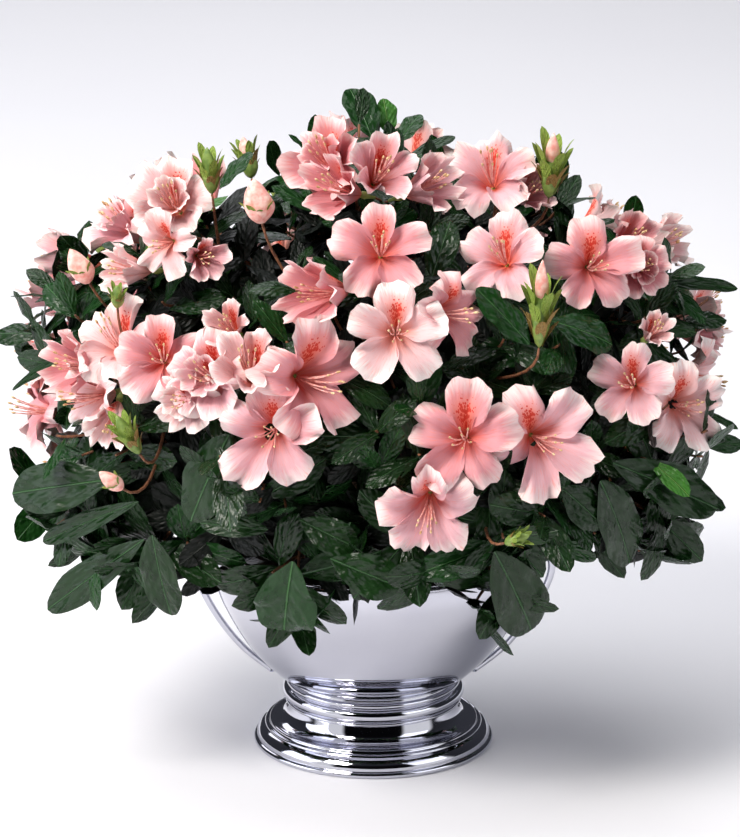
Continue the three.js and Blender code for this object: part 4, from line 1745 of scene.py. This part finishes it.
# ------------------------------------------------------------------ the studio
@dataclass
class Studio:
    """Pale floor, soft lights, and a camera that looks a little down on the bowl.

    Attributes:
        elevation: Degrees that the camera looks down.
        distance: Metres from the camera to its target.
        sight: The target: metres to the right, and share of the height.
        lens: Focal length in mm.
        floor_size: Side of the floor in metres.
    """

    elevation: float = VIEW_RISE
    distance: float = VIEW_DISTANCE
    sight: tuple[float, float] = (-0.0024, 0.496)
    lens: float = 227.0
    floor_size: float = 16.0

    def camera(self) -> None:
        """Camera on a long lens, aimed at the middle of the height."""
        low, high = np.array(CAD_BOX)
        target = np.array([self.sight[0], 0, (high - low)[2] * self.sight[1]])
        data = bpy.data.cameras.new("camera")
        data.lens = self.lens
        camera = bpy.data.objects.new("camera", data)
        camera.location = target + aim(0, self.elevation) * self.distance
        camera.rotation_euler = (np.radians(90 - self.elevation), 0, 0)
        bpy.context.scene.collection.objects.link(camera)
        bpy.context.scene.camera = camera

    def floor(self) -> None:
        """A wide floor of painted board, very slightly mottled."""
        half = self.floor_size / 2
        mesh = bpy.data.meshes.new("floor")
        mesh.from_pydata([(-half, -half, 0), (half, -half, 0), (half, half, 0), (-half, half, 0)], [],
                         [(0, 1, 2, 3)])
        floor = bpy.data.objects.new("floor", mesh)
        bpy.context.scene.collection.objects.link(floor)
        mesh.materials.append(PaintedBoard("painted_board").make())

    def light(self, name: str, turn: float, rise: float, away: float, size: float, power: float,
              colour: str) -> None:
        """A square softbox that looks at the middle of the crown.

        Args:
            name: Name of the lamp.
            turn: Degrees round from the front.
            rise: Degrees above the level.
            away: Metres from the crown.
            size: Side in metres.
            power: Watts.
            colour: Hex colour.
        """
        data = bpy.data.lights.new(name, "AREA")
        data.size = size
        data.energy = power
        data.color = linear(colour)[:3]
        lamp = bpy.data.objects.new(name, data)
        spot = aim(turn, rise)
        lamp.location = spot * away + [0, 0, 0.25]
        lamp.rotation_euler = (np.radians(90 - rise), 0, np.radians(turn))
        bpy.context.scene.collection.objects.link(lamp)

    def lights(self) -> None:
        """Key from the upper left, weaker fill from the right, top light, and a pale room.

        The room is dark in a narrow stretch behind the camera, as a studio is between its
        softboxes, which gives the metal its dark middle band.
        """
        self.light("key", -42, 44, 2.4, 0.9, 59, "#fffaf4")
        self.light("fill_left", -80, 18, 2.6, 1.8, 26, "#f2f4ff")
        self.light("fill_right", 60, 34, 2.8, 1.8, 14, "#f2f4ff")
        self.light("top", -150, 78, 2.8, 3.0, 58, "#ffffff")
        self.light("backdrop", -165, 42, 3.6, 2.4, 40, "#f8f8ff")
        world = bpy.data.worlds.new("room")
        world.use_nodes = True
        tree = world.node_tree
        tree.nodes.clear()
        way = put(tree, "SeparateXYZ", put(tree, "TexCoord").outputs["Generated"])
        back = put(tree, "Math MULTIPLY", way.outputs[1], -1.0)
        turn = put(tree, "Math ABSOLUTE", put(tree, "Math ARCTAN2", way.outputs[0], back))
        round_room = put(tree, "MapRange", turn, 0.0, np.pi, 0.0, 1.0)
        stops = ((0.21, "#08080a"), (0.24, "#ffffff"), (0.44, "#ffffff"),
                 (0.48, "#2c2d31"), (0.8, "#3c3d43"))
        wall = put(tree, "ValToRGB", round_room, stops=stops)
        high = put(tree, "MapRange", way.outputs[2], 0.6, 0.75, 0.0, 1.0,
                   interpolation_type="SMOOTHSTEP")
        tone = put(tree, "Mix", high, wall, "#2e2f34", data_type="RGBA")
        put(tree, "OutputWorld", put(tree, "Background", tone, 1.0))
        bpy.context.scene.world = world
        bpy.context.scene.view_settings.view_transform = "Standard"


def main() -> None:
    """Builds the studio, the bowl and the shrub in order."""
    logging.basicConfig(level=logging.INFO, format="%(message)s", stream=sys.stdout)
    random = np.random.default_rng(11)
    studio = Studio()
    studio.camera()
    studio.floor()
    studio.lights()

    bowl = FootedBowl(NickelSilver("nickel_silver_polished").make())
    bowl.body()
    bowl.neck()
    bowl.foot()
    bowl.handles()
    bowl.compost(Crumbs("peat_compost").make(), random)

    shrub = Shrub(Dome(), random, Palette())
    shrub.limbs()
    shrub.grow()


if __name__ == "__main__":
    main()
